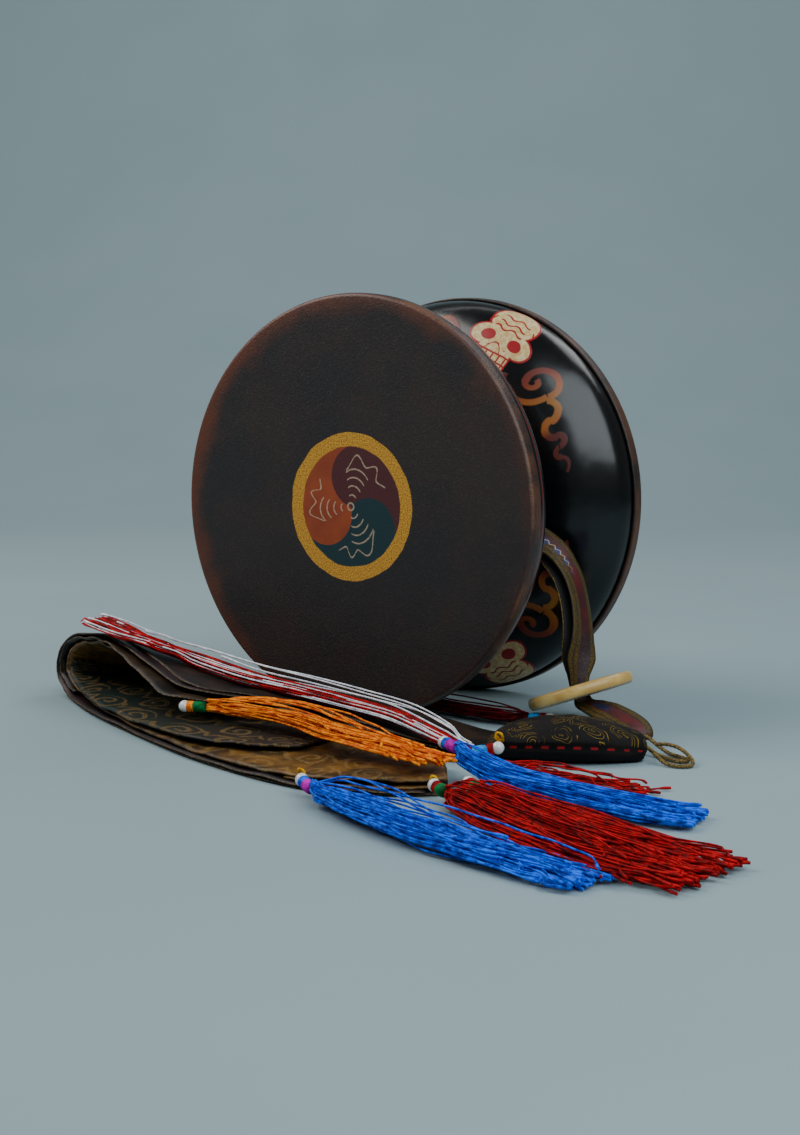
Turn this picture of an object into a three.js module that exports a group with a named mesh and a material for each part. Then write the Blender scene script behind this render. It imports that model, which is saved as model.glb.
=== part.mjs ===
// A large two-headed hand drum standing on its two rims, with its hand strap, bone disc and folded tail.
// Millimetres, +Z up. The drum's axis lies along Y, and its front head faces -Y. Places below are measured
// from the floor under the middle of the drum, and the finished group is moved to the part's own origin.
import * as THREE from 'three';
import { mergeVertices } from 'three/addons/utils/BufferGeometryUtils.js';

// Driving dimensions of the drum.
const RIM_RADIUS = 150;
const DRUM_WIDTH = 155;
const SIDES = 60;
const SKIN = 2;
const GAP = 0.3;
const LAP = 11;
const WALL = 8;
const WAIST_RADIUS = 38;
const WAIST_BORE = 20;
const WAIST_HALF_WIDTH = 14;
const BOWL_START = 12;
const BOWL_STEPS = 5;
const BELT_THICKNESS = 5;
const BELT_HALF_WIDTH = 13;

// Driving dimensions of the soft parts.
const DISC_RADIUS = 37.5;
const DISC_HOLE = 10;
const DISC_THICKNESS = 9;
const CORD_DIAMETER = 2.8;
const CORD_SIDES = 8;
const BANNER_THICKNESS = 6;
const LINING_THICKNESS = 6;
const BEAD_RADIUS = 4;
const WRAP_RADIUS = 4;
const WRAP_LENGTH = 10;
const BUNDLE_SIDES = 8;
const BUNDLE_STEPS = 9;

// The drum stands on one flat of each many-sided rim.
const AXIS_HEIGHT = RIM_RADIUS * Math.cos(Math.PI / SIDES);
const SHELL_RADIUS = RIM_RADIUS - SKIN - GAP;
const SHELL_FACE = DRUM_WIDTH / 2 - SKIN - GAP;
const BOWL_EDGE = SHELL_FACE - BOWL_START;

const vec = (x, y, z) => new THREE.Vector3(x, y, z);

// One closed body with shared corners and its faces pointing out.
function closed(geometry) {
  const plain = geometry.clone();
  plain.deleteAttribute('normal');
  plain.deleteAttribute('uv');
  const body = mergeVertices(plain, 1e-4);
  const position = body.getAttribute('position');
  const index = Array.from(body.getIndex().array);
  const corner = [vec(0, 0, 0), vec(0, 0, 0), vec(0, 0, 0)];
  const kept = [];
  let volume = 0;
  for (let i = 0; i < index.length; i += 3) {
    const [a, b, c] = index.slice(i, i + 3);
    if (a === b || b === c || c === a) continue;
    [a, b, c].forEach((v, k) => corner[k].fromBufferAttribute(position, v));
    volume += corner[0].dot(corner[1].clone().cross(corner[2])) / 6;
    kept.push(a, b, c);
  }
  if (volume < 0) {
    for (let i = 0; i < kept.length; i += 3) [kept[i + 1], kept[i + 2]] = [kept[i + 2], kept[i + 1]];
  }
  body.setIndex(kept);
  body.computeVertexNormals();
  return body;
}

// Moves every corner of a geometry to where place(corner) says.
function warp(geometry, place) {
  const moved = closed(geometry);
  const position = moved.getAttribute('position');
  for (let i = 0; i < position.count; i += 1) {
    const to = place(vec(position.getX(i), position.getY(i), position.getZ(i)));
    position.setXYZ(i, to.x, to.y, to.z);
  }
  return closed(moved);
}

// A turned body about the drum's axis, from [radius, y] pairs of a closed section.
function turned(section) {
  const points = section.map(([radius, y]) => new THREE.Vector2(radius, y));
  const lathe = closed(new THREE.LatheGeometry(points, SIDES, Math.PI / SIDES));
  lathe.translate(0, 0, AXIS_HEIGHT);
  return lathe;
}

const drum = new THREE.Group();

function add(name, geometry, color, roughness, metalness = 0) {
  const mesh = new THREE.Mesh(geometry, new THREE.MeshStandardMaterial({ color, roughness, metalness }));
  mesh.name = name;
  drum.add(mesh);
  return mesh;
}

// The shell: two bowls that meet in a narrow waist, open at both ends and bored through the waist.
function bowlArc(edgeRadius, neckRadius, edgeY, neckY, steps) {
  const arc = [];
  for (let i = 0; i <= steps; i += 1) {
    const angle = (Math.PI / 2) * (i / steps);
    const radius = neckRadius + (edgeRadius - neckRadius) * Math.cos(angle);
    arc.push([radius, edgeY + (neckY - edgeY) * Math.sin(angle)]);
  }
  return arc;
}

function shellSection() {
  const outer = bowlArc(SHELL_RADIUS, WAIST_RADIUS, BOWL_EDGE, WAIST_HALF_WIDTH, BOWL_STEPS);
  const inner = bowlArc(SHELL_RADIUS - WALL, WAIST_BORE, BOWL_EDGE, WAIST_HALF_WIDTH + WALL, BOWL_STEPS);
  const half = [[SHELL_RADIUS, SHELL_FACE], ...outer];
  const bore = [[SHELL_RADIUS - WALL, SHELL_FACE], ...inner];
  const mirror = (points) => points.map(([radius, y]) => [radius, -y]);
  const loop = [...half, ...mirror(half).reverse(), ...mirror(bore), ...bore.reverse()];
  return [...loop, loop[0]];
}

add('drum_shell', turned(shellSection()), 0x07090c, 0.18);

// The heads: a skin disc with a soft edge and a skirt lapped over the rim.
function headSection(side) {
  const face = DRUM_WIDTH / 2;
  const soft = 2.5;
  const section = [
    [0, face], [RIM_RADIUS - soft, face], [RIM_RADIUS, face - soft], [RIM_RADIUS, face - LAP],
    [RIM_RADIUS - SKIN, face - LAP], [RIM_RADIUS - SKIN, face - SKIN], [0, face - SKIN],
  ];
  return section.map(([radius, y]) => [radius, side * y]);
}

add('head_front', turned(headSection(-1)), 0x2a1f1c, 0.6);
add('head_back', turned(headSection(1)), 0x2a1f1c, 0.6);

// The belt: a band round the waist.
const beltInner = WAIST_RADIUS + GAP;
const beltOuter = beltInner + BELT_THICKNESS;
add('waist_belt', turned([
  [beltInner, -BELT_HALF_WIDTH], [beltOuter, -BELT_HALF_WIDTH], [beltOuter, BELT_HALF_WIDTH],
  [beltInner, BELT_HALF_WIDTH], [beltInner, -BELT_HALF_WIDTH],
]), 0x7a5a24, 0.6);

// A smooth curve through hand-chosen points.
const curve = (points) => new THREE.CatmullRomCurve3(points.map(([x, y, z]) => vec(x, y, z)), false, 'centripetal');

// A band between two rails, built up by its thickness along its own normal.
function cloth(front, back, thickness, steps, across) {
  const frontRail = curve(front);
  const backRail = curve(back);
  const at = (u, v) => frontRail.getPoint(u).lerp(backRail.getPoint(u), v);
  const nudge = 1e-3;
  const normal = (u, v) => {
    const low = Math.max(u - nudge, 0);
    const high = Math.min(u + nudge, 1);
    const along = at(high, v).sub(at(low, v));
    return along.cross(at(u, 1).sub(at(u, 0))).normalize();
  };
  return warp(new THREE.BoxGeometry(1, 1, 1, steps, across, 1), (corner) => {
    const u = corner.x + 0.5;
    const v = corner.y + 0.5;
    return at(u, v).addScaledVector(normal(u, v), corner.z * thickness);
  });
}

// The strap: a ribbon through stations of its middle, width and thickness. The turn is the angle of its
// width from Y towards X, and the lean is how far its front edge hangs lower than its back edge.
const STRAP_STATIONS = [
  { at: [44.8, 0, 149], width: 23, thickness: 4, turn: 0, lean: 0.1 },
  { at: [60, -0.5, 147], width: 23, thickness: 4, turn: 0, lean: 0.3 },
  { at: [86, -2, 138], width: 23, thickness: 4, turn: 0, lean: 0.5 },
  { at: [108, -2, 128], width: 23, thickness: 4, turn: 0, lean: 0.5 },
  { at: [122.5, -2, 119.6], width: 23, thickness: 4, turn: 0, lean: 0.4 },
  { at: [131.8, -3, 110.6], width: 23, thickness: 4, turn: 0, lean: 0.2 },
  { at: [138.8, -4, 100], width: 23, thickness: 4, turn: 0, lean: 0.1 },
  { at: [144, -5, 85], width: 23, thickness: 4, turn: 0, lean: 0 },
  { at: [148, -8, 70], width: 23, thickness: 4, turn: 0.05, lean: 0 },
  { at: [150, -11, 58], width: 23, thickness: 4, turn: 0.2, lean: 0 },
  { at: [151, -14, 46], width: 22, thickness: 5, turn: 0.6, lean: 0 },
  { at: [151.4, -16, 35], width: 13, thickness: 7, turn: 0.8, lean: 0 },
  { at: [153.2, -17, 25], width: 11, thickness: 8, turn: 1, lean: 0 },
  { at: [156.5, -20, 16], width: 12, thickness: 8, turn: 1, lean: 0 },
  { at: [167, -31, 12.5], width: 20, thickness: 12, turn: 0.6, lean: 0 },
  { at: [185, -44, 12], width: 24, thickness: 14, turn: 0.6, lean: 0 },
  { at: [205, -55, 11], width: 24, thickness: 12, turn: 0.6, lean: 0 },
  { at: [222, -64, 9], width: 16, thickness: 8, turn: 0.6, lean: 0 },
];

function ribbon(stations, steps) {
  const path = curve(stations.map((station) => station.at));
  const blend = (key, u) => {
    const place = u * (stations.length - 1);
    const low = Math.min(Math.floor(place), stations.length - 2);
    return THREE.MathUtils.lerp(stations[low][key], stations[low + 1][key], place - low);
  };
  return warp(new THREE.BoxGeometry(1, 1, 1, steps, 1, 1), (corner) => {
    const u = corner.x + 0.5;
    const along = path.getTangent(u);
    const turn = blend('turn', u);
    const wide = vec(Math.sin(turn), Math.cos(turn), blend('lean', u));
    wide.addScaledVector(along, -wide.dot(along)).normalize();
    const thick = along.clone().cross(wide);
    return path.getPoint(u)
      .addScaledVector(wide, corner.y * blend('width', u))
      .addScaledVector(thick, corner.z * blend('thickness', u));
  });
}

add('strap', ribbon(STRAP_STATIONS, 34), 0x7a2a22, 0.6);

// The bone disc: a ring with rounded edges, leaning on the strap with its outer side raised.
const DISC_PLACE = vec(153, -17, 24.5);
const DISC_LEAN = THREE.MathUtils.degToRad(20);

function discSection() {
  const half = DISC_THICKNESS / 2;
  const soft = 2.6;
  const section = [
    [DISC_HOLE, -half + 1], [DISC_HOLE + 1, -half], [DISC_RADIUS - soft, -half], [DISC_RADIUS - 0.6, -half + soft / 2],
    [DISC_RADIUS, 0], [DISC_RADIUS - 0.6, half - soft / 2], [DISC_RADIUS - soft, half], [DISC_HOLE + 1, half],
    [DISC_HOLE, half - 1],
  ];
  return [...section, section[0]].map(([radius, y]) => new THREE.Vector2(radius, y));
}

const disc = closed(new THREE.LatheGeometry(discSection(), 32));
disc.rotateX(Math.PI / 2);
disc.rotateY(-DISC_LEAN);
add('bone_disc', disc, 0xd9bd7c, 0.3).position.copy(DISC_PLACE);

// A free cord: a round tube along a smooth curve. Each of the two is doubled into a narrow loop.
function cord(points, steps) {
  const section = new THREE.Shape();
  for (let i = 0; i < CORD_SIDES; i += 1) {
    const angle = (i / CORD_SIDES) * Math.PI * 2;
    const x = (CORD_DIAMETER / 2) * Math.cos(angle);
    const y = (CORD_DIAMETER / 2) * Math.sin(angle);
    if (i === 0) section.moveTo(x, y);
    else section.lineTo(x, y);
  }
  section.closePath();
  return closed(new THREE.ExtrudeGeometry(section, { steps, bevelEnabled: false, extrudePath: curve(points) }));
}

const STRAP_CORD = [
  [225.6, -62.2, 9], [233, -66, 7.6], [242, -71, 4.6], [252, -76, 2], [262, -80.5, 1.6], [269.5, -85, 1.6],
  [271.5, -90, 1.6], [267, -93, 1.6], [259.5, -90.5, 1.6], [249.5, -85.5, 2], [239, -79.5, 4.2], [230, -73.5, 7],
  [222.4, -68, 8.6],
];
const TAIL_CORD = [
  [247.4, -85.6, 9], [254, -82.6, 9.2], [262, -83.4, 8.2], [270, -87.4, 6], [277, -93, 3], [279.5, -99.5, 1.6],
  [277.5, -105, 1.6], [271.5, -107, 1.6], [264.5, -106, 2.4], [257.5, -102.6, 4.8], [250.8, -97.8, 7.4],
];
add('strap_cord', cord(STRAP_CORD, 26), 0x7a6116, 0.55);
add('tail_cord', cord(TAIL_CORD, 24), 0x7a6116, 0.55);

// The tail's stiff head: a stitched tongue with a blunt tip, flat below and crowned above.
const TONGUE_LINE = curve([[153, -127, 0], [176, -122, 0], [200, -114, 0], [224, -104, 0], [245, -93, 0]]);
const TONGUE_HALF_WIDTHS = [28, 32, 34, 33, 29, 21, 12];
const TONGUE_HEIGHTS = [16, 22, 25, 26, 25, 21, 16];

function pick(values, u) {
  const place = u * (values.length - 1);
  const low = Math.min(Math.floor(place), values.length - 2);
  return THREE.MathUtils.lerp(values[low], values[low + 1], place - low);
}

function tongue() {
  const crown = 0.45;
  return warp(new THREE.BoxGeometry(1, 1, 1, 12, 6, 1), (corner) => {
    const u = corner.x + 0.5;
    const v = corner.y * 2;
    const along = TONGUE_LINE.getTangent(u);
    const side = vec(-along.y, along.x, 0);
    const top = pick(TONGUE_HEIGHTS, u) * (1 - crown * v * v);
    const place = TONGUE_LINE.getPoint(u).addScaledVector(side, v * pick(TONGUE_HALF_WIDTHS, u));
    return place.setZ(corner.z < 0 ? 0 : top);
  });
}

add('tail_head', tongue(), 0x1d1514, 0.75);

// The tail's cloth runs from the tongue to the left past the front rim, turns over in an open loop that
// flares towards the front, and comes back along the floor. Each cloth lies between a front and a back rail.
const BANNER_FRONT = [
  [200, -254, 3], [172, -275, 3], [140, -286, 3], [100, -286, 3], [51, -274, 3], [-6, -254, 3],
  [-85, -217, 3], [-152, -183, 3], [-205, -150, 4], [-232, -136, 15], [-231, -136, 34], [-209, -145, 49],
  [-170, -162, 56], [-130, -180, 54], [-90, -197, 44], [-50, -211, 34], [-10, -196, 29], [30, -176, 23],
  [80, -165, 13], [120, -160, 6], [156, -157, 4],
];
const BANNER_BACK = [
  [157, -191, 3], [140, -194, 3], [118, -198, 3], [95, -199, 3], [60, -190, 3], [25, -172, 3],
  [-49, -135, 3], [-116, -102, 3], [-168, -72, 3.4], [-196, -57, 9], [-196, -57, 19], [-175, -66, 25],
  [-136, -84, 27], [-98, -100, 26.4], [-65, -112, 25.4], [-35, -112, 24], [-8, -100, 22], [25, -95, 18],
  [75, -98, 12], [115, -97, 6], [144.5, -97, 4],
];
const LINING_FRONT = [
  [198, -252, 9.8], [172, -271, 9.8], [140, -282, 9.8], [100, -282, 9.8], [51, -270, 9.8], [-6, -250, 9.8],
  [-85, -213, 9.8], [-150, -180, 9.8], [-196, -152, 12], [-217, -141, 20], [-216, -141, 32], [-200, -148, 42],
  [-168, -161, 48.4], [-133, -176, 46.4], [-100, -190, 38], [-70, -200, 30],
];
const LINING_BACK = [
  [156, -193, 9.8], [140, -196, 9.8], [118, -200, 9.8], [95, -201, 9.8], [60, -192, 9.8], [25, -174, 9.8],
  [-47, -138, 9.8], [-112, -106, 9.8], [-156, -81, 9.8], [-176, -70, 11.4], [-176, -70, 15], [-164, -75, 17.4],
  [-134, -88, 18.8], [-104, -101, 18.8], [-80, -112, 18.4], [-60, -118, 17.8],
];
add('tail_banner', cloth(BANNER_FRONT, BANNER_BACK, BANNER_THICKNESS, 36, 2), 0x2a1d14, 0.7);
add('tail_lining', cloth(LINING_FRONT, LINING_BACK, LINING_THICKNESS, 26, 2), 0x4a3a1c, 0.6);

// A tassel: a bead, a thread wrap and a flat bundle of threads that widens from the wrap to its end.
function bundle(points, halfWidth, halfHeight) {
  const path = curve(points);
  const widths = [0.24, 0.5, 0.78, 0.94, 1, 1, 0.9].map((share) => share * halfWidth);
  const heights = [1, 1.1, 1.1, 1, 0.9, 0.8, 0.6].map((share) => share * halfHeight);
  return warp(new THREE.CylinderGeometry(1, 1, 1, BUNDLE_SIDES, BUNDLE_STEPS), (corner) => {
    const u = corner.y + 0.5;
    const along = path.getTangent(u);
    const side = vec(-along.y, along.x, 0).normalize();
    return path.getPoint(u)
      .addScaledVector(side, corner.x * pick(widths, u))
      .addScaledVector(vec(0, 0, 1), corner.z * pick(heights, u));
  });
}

function tassel({ name, color, wrapColor, bead, wrap, threads, halfWidth, halfHeight }) {
  const start = vec(...threads[0]);
  add(`${name}_threads`, bundle(threads, halfWidth, halfHeight), color, 0.7);
  if (!bead) return;
  const centre = vec(...wrap);
  const direction = start.clone().sub(centre).normalize();
  const band = new THREE.CylinderGeometry(WRAP_RADIUS - 0.6, WRAP_RADIUS - 0.6, WRAP_LENGTH, 8);
  band.applyQuaternion(new THREE.Quaternion().setFromUnitVectors(vec(0, 1, 0), direction));
  add(`${name}_wrap`, closed(band), wrapColor, 0.7).position.copy(centre);
  add(`${name}_bead`, closed(new THREE.SphereGeometry(BEAD_RADIUS, 8, 6)), 0xdcdcd6, 0.2).position.set(...bead);
}

const RED = 0xa80f14;
const BLUE = 0x1d6fd8;
const TASSELS = [
  {
    name: 'tassel_long', color: RED, wrapColor: 0x2b9fd0, bead: [178.5, -165.5, 12], wrap: [169, -170.5, 9.6],
    threads: [
      [163, -171, 9.4], [150, -170.5, 11], [137, -168, 14.4], [94, -152, 20], [55, -152, 25], [14, -154, 30.4],
      [-31, -152, 34.4], [-83, -145, 41], [-107, -158, 50.6], [-128, -168, 58.4], [-160, -160, 63], [-178, -154, 64],
    ],
    halfWidth: 11, halfHeight: 3,
  },
  {
    name: 'tassel_orange', color: 0xf09a1c, wrapColor: 0x0f7a4a, bead: [-35, -217, 24], wrap: [-25.6, -213.2, 23.8],
    threads: [
      [-20, -211, 23.6], [8, -206, 23.4], [52, -208, 22.8], [107, -228, 22], [153, -238, 20.4], [190, -248, 18.6],
    ],
    halfWidth: 12, halfHeight: 3,
  },
  {
    name: 'tassel_blue_front', color: BLUE, wrapColor: 0xc21fb4, bead: [126, -298, 9], wrap: [135, -303, 7],
    threads: [
      [140.4, -306, 6.4], [163, -318, 6.6], [209, -337, 6.4], [260, -354, 5.8], [304, -365, 5.2], [340, -373, 4.4],
      [367, -382, 3.8],
    ],
    halfWidth: 15, halfHeight: 4.4,
  },
  {
    name: 'tassel_red_left', color: RED, wrapColor: 0x0f8a4a, bead: [198, -266, 9], wrap: [207, -271, 8],
    threads: [
      [212.4, -274, 7.6], [228, -284, 7.2], [262, -304, 7], [305, -326, 6.6], [344, -340, 6], [380, -349, 5.2],
      [410, -352, 4.4],
    ],
    halfWidth: 16, halfHeight: 5,
  },
  {
    name: 'tassel_red_right', color: RED, wrapColor: 0x0f8a4a, bead: [208, -245, 8], wrap: [217, -250.6, 7.4],
    threads: [
      [222.4, -254, 7], [236, -261, 7], [266, -274, 7], [308, -288, 6.6], [350, -305, 6], [386, -317, 5.2],
      [412, -321, 4.4],
    ],
    halfWidth: 15, halfHeight: 5,
  },
  {
    name: 'tassel_blue_side', color: BLUE, wrapColor: 0xc21fb4, bead: [165, -206, 20.6], wrap: [174.4, -211, 20],
    threads: [
      [179.6, -213.6, 19.4], [194, -218.6, 14], [222, -223, 8], [260, -228, 6.4], [298, -235, 5.8], [330, -237, 4.8],
      [352, -233, 4],
    ],
    halfWidth: 16, halfHeight: 4.4,
  },
  {
    name: 'tassel_behind', color: 0x7a0d12, wrapColor: 0x2b9fd0, bead: [143, -42, 8], wrap: [133.6, -43.6, 7.4],
    threads: [
      [128, -44.2, 7], [112, -43, 5.6], [90, -39, 5.2], [55, -31, 4.6], [15, -23, 4.4], [-25, -16, 4.2],
      [-65, -11, 4], [-100, -9, 3.6],
    ],
    halfWidth: 12, halfHeight: 3.6,
  },
  {
    name: 'tassel_under', color: RED, wrapColor: RED,
    threads: [[190, -177, 3.4], [215, -179, 3.8], [245, -181, 3.6], [275, -184, 3.2], [300, -183, 2.8]],
    halfWidth: 10, halfHeight: 2.8,
  },
];

TASSELS.forEach(tassel);

// The origin is on the floor, under the middle of everything but the two free cords.
const held = new THREE.Box3();
drum.children.filter((mesh) => !mesh.name.endsWith('_cord')).forEach((mesh) => held.expandByObject(mesh, true));
drum.position.set(-(held.min.x + held.max.x) / 2, -(held.min.y + held.max.y) / 2, 0);

export default drum;
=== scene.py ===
"""A large two-headed hand drum of lacquered wood standing on its rims, with its brocade strap, bone disc and tail."""

import functools
import math
import random

import bmesh
import bpy
from mathutils import Matrix, Vector, noise


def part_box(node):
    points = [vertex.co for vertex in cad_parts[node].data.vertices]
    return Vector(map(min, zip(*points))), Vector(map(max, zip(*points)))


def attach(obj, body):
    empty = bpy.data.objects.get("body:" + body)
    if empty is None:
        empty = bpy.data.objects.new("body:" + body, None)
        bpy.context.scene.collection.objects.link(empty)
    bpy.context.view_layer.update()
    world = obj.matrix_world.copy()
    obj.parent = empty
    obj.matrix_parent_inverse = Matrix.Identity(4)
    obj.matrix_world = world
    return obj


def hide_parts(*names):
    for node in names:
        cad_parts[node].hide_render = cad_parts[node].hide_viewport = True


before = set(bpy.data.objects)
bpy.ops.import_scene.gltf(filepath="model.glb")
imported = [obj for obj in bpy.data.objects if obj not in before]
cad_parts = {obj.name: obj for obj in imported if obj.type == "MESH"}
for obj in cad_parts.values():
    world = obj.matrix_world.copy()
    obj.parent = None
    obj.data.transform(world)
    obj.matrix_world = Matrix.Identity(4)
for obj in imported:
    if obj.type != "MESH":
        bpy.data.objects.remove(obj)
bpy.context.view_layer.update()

MM = 0.001

# The drum's own measures, in millimetres.
RIM_RADIUS = 150
FACE = 77.5
LAP = 11
SKIN = 2
GAP = 0.3
WALL = 8
SHELL_RADIUS = RIM_RADIUS - SKIN - GAP
SHELL_FACE = FACE - SKIN - GAP
BOWL_EDGE = SHELL_FACE - 12
WAIST_RADIUS = 38
WAIST_BORE = 20
WAIST_HALF = 14
BELT_THICKNESS = 5
BELT_HALF = 13

front_low, front_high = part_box("head_front")
back_low, back_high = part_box("head_back")
MIDDLE = Vector(((front_low.x + front_high.x) / 2, (front_low.y + back_high.y) / 2, 0))
AXIS = (front_low.z + front_high.z) / 2 / MM


def at(x, y, z):
    """A place measured in millimetres from the floor under the middle of the drum."""
    return MIDDLE + Vector((x, y, z)) * MM


# ---------------------------------------------------------------- camera and lights

AIM = at(-4.7, -9.8, 100.3)
CAMERA_AZIMUTH = math.radians(34.87)
CAMERA_ELEVATION = math.radians(6.17)
CAMERA_DISTANCE = 1.4403
CAMERA_LENS = 87.67


def bearing(azimuth, elevation):
    """The unit vector from what is looked at towards who looks."""
    return Vector((
        math.sin(azimuth) * math.cos(elevation),
        -math.cos(azimuth) * math.cos(elevation),
        math.sin(elevation),
    ))


def turned_to(back):
    """A rotation that faces an object's -Z away from back, with its top upwards."""
    right = Vector((0, 0, 1)).cross(back).normalized()
    return Matrix((right, back.cross(right), back)).transposed().to_4x4()


def add_camera():
    lens = bpy.data.cameras.new("camera")
    lens.sensor_fit = "HORIZONTAL"
    lens.sensor_width = 36
    lens.lens = CAMERA_LENS
    lens.clip_end = 20
    camera = bpy.data.objects.new("camera", lens)
    bpy.context.scene.collection.objects.link(camera)
    back = bearing(CAMERA_AZIMUTH, CAMERA_ELEVATION)
    camera.matrix_world = Matrix.Translation(AIM + back * CAMERA_DISTANCE) @ turned_to(back)
    bpy.context.scene.camera = camera


def add_light(name, azimuth, elevation, distance, size, power, color, aim=None):
    """A soft rectangular lamp aimed at the drum."""
    lamp = bpy.data.lights.new(name, "AREA")
    lamp.shape = "RECTANGLE"
    lamp.size, lamp.size_y = size
    lamp.energy = power
    lamp.color = color
    light = bpy.data.objects.new(name, lamp)
    bpy.context.scene.collection.objects.link(light)
    back = bearing(math.radians(azimuth), math.radians(elevation))
    light.matrix_world = Matrix.Translation((aim or at(0, 0, 130)) + back * distance) @ turned_to(back)


add_camera()


# ---------------------------------------------------------------- shader maths

def operator(operation, swapped=False):
    """A method of Wire that adds a maths node, with its two sides swapped where asked."""
    def method(self, *others):
        values = (self, *others)[::-1] if swapped else (self, *others)
        return self.finish.node("Math", {"operation": operation}, dict(enumerate(values)))

    return method


class Wire:
    """One socket of a finish, with the arithmetic that adds the nodes it needs."""

    __add__ = __radd__ = operator("ADD")
    __sub__ = operator("SUBTRACT")
    __rsub__ = operator("SUBTRACT", swapped=True)
    __mul__ = operator("MULTIPLY")
    __truediv__ = operator("DIVIDE")
    __pow__ = operator("POWER")
    __abs__ = operator("ABSOLUTE")
    least = operator("MINIMUM")
    most = operator("MAXIMUM")
    root = operator("SQRT")
    sine = operator("SINE")
    cosine = operator("COSINE")
    arc_cosine = operator("ARCCOSINE")
    angle = operator("ARCTAN2")
    fraction = operator("FRACT")
    floor = operator("FLOOR")

    def __init__(self, finish, socket):
        self.finish = finish
        self.socket = socket

    def degrees(self, x):
        """The angle of the direction (x, self) in degrees."""
        return self.angle(x) * (180 / math.pi)

    def rise(self, low, high):
        """A soft mask that goes from 0 at low to 1 at high; low may be above high."""
        return self.finish.node(
            "MapRange", {"interpolation_type": "SMOOTHSTEP"}, {"Value": self, "From Min": low, "From Max": high},
        )

    def within(self, half, soft):
        """A mask of 1 where the value lies within half either side of zero."""
        return abs(self).rise(half + soft, half - soft)

    def split(self):
        parts = self.finish.node("SeparateXYZ", {}, {0: self})
        return tuple(Wire(self.finish, parts.socket.node.outputs[k]) for k in range(3))


def joined(masks):
    """The mask of all that any of several masks covers."""
    return functools.reduce(Wire.most, masks)


def radius_of(x, y):
    """How far (x, y) is from the origin."""
    return (x ** 2 + y ** 2).root()


class Finish:
    """A finish being mixed: its material, its shader and the nodes of its pattern."""

    def __init__(self, name, **uniform):
        self.material = bpy.data.materials.new(name)
        self.material.use_nodes = True
        self.tree = self.material.node_tree
        self.tree.nodes.clear()
        output = self.tree.nodes.new("ShaderNodeOutputMaterial")
        self.shader = self.tree.nodes.new("ShaderNodeBsdfPrincipled")
        self.tree.links.new(self.shader.outputs[0], output.inputs[0])
        for socket, value in uniform.items():
            self.shader.inputs[socket.replace("_", " ")].default_value = value

    def node(self, kind, settings, inputs, output=0):
        made = self.tree.nodes.new("ShaderNode" + kind)
        for name, value in settings.items():
            if name == "stops":
                set_stops(made.color_ramp, *value)
            else:
                setattr(made, name, value)
        for name, value in inputs.items():
            if isinstance(value, Wire):
                self.tree.links.new(value.socket, made.inputs[name])
            else:
                made.inputs[name].default_value = value
        return Wire(self, made.outputs[output])

    def vectors(self, operation, first, second):
        """Arithmetic on vectors; the second value is a number where the operation is SCALE."""
        second_socket = "Scale" if operation == "SCALE" else 1
        return self.node("VectorMath", {"operation": operation}, {0: first, second_socket: second})

    def place(self, centre):
        """Object coordinates about a centre in the row frame, in millimetres."""
        coordinates = self.node("TexCoord", {}, {}, "Object")
        return self.vectors("SCALE", self.vectors("SUBTRACT", coordinates, tuple(centre)), 1 / MM)

    def attribute(self, name):
        return self.node("Attribute", {"attribute_name": name}, {}, "Fac")

    def chart(self, length, width):
        """Where a point lies along and across a cloth, in millimetres."""
        along, across, _ = self.node("UVMap", {"uv_map": "chart"}, {}).split()
        return along * length, across * width

    def vector(self, x, y, z=0):
        return self.node("CombineXYZ", {}, {0: x, 1: y, 2: z})

    def shift(self, vector, by, amount):
        """A vector pushed about by a colour, for patterns drawn by hand."""
        centred = self.vectors("SUBTRACT", by, (0.5, 0.5, 0.5))
        return self.vectors("ADD", vector, self.vectors("SCALE", centred, amount))

    def noise(self, vector, scale, detail=2, roughness=0.5, output="Fac"):
        inputs = {"Vector": vector, "Scale": scale, "Detail": detail, "Roughness": roughness}
        return self.node("TexNoise", {}, inputs, output)

    def ramp(self, value, stops, interpolation="LINEAR"):
        return self.node("ValToRGB", {"stops": (interpolation, stops)}, {0: value})

    def level(self, value, stops, interpolation="LINEAR"):
        """A number read from a ramp of [place, number] stops."""
        colored = self.ramp(value, [(place, (number, number, number)) for place, number in stops], interpolation)
        return self.node("SeparateColor", {}, {0: colored})

    def mix(self, share, first, second, blend="MIX"):
        first, second = (value if isinstance(value, Wire) else (*value, 1) for value in (first, second))
        return self.node("Mix", {"data_type": "RGBA", "blend_type": blend}, {0: share, 6: first, 7: second}, 2)

    def tint(self, color, level):
        """A colour made lighter or darker by a number."""
        return self.mix(1.0, color, self.node("CombineColor", {}, {0: level, 1: level, 2: level}), "MULTIPLY")

    def wear(self, color, height, depth, strength, **others):
        """Gives the material, with its colour, a bump of a depth in millimetres and what else varies."""
        bump = self.node("Bump", {}, {"Height": height, "Distance": depth * MM, "Strength": strength})
        for name, wire in {"Base_Color": color, "Normal": bump, **others}.items():
            self.tree.links.new(wire.socket, self.shader.inputs[name.replace("_", " ")])
        return self.material


def set_stops(ramp, interpolation, stops):
    ramp.interpolation = interpolation
    while len(ramp.elements) < len(stops):
        ramp.elements.new(0.5)
    for element, (place, _) in zip(ramp.elements, stops):
        element.position = place
    for element, (_, color) in zip(ramp.elements, stops):
        element.color = (*color, 1)


def shade(red, green, blue):
    """A colour picked on a screen, from 0 to 255, as the light it stands for."""
    return tuple(
        level / 12.92 if level <= 0.04045 else ((level + 0.055) / 1.055) ** 2.4
        for level in (red / 255, green / 255, blue / 255)
    )


def mottled(name, deep, bright, span, spots, relief, depth, strength, **uniform):
    """A plain finish mottled between two shades; spots and relief are the noises of its colour and its bump."""
    finish = Finish(name, **uniform)
    place = finish.place(MIDDLE)
    color = finish.mix(finish.noise(place, *spots).rise(*span), deep, bright)
    return finish.wear(color, finish.noise(place, *relief), depth, strength)


# ---------------------------------------------------------------- pieces

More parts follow.
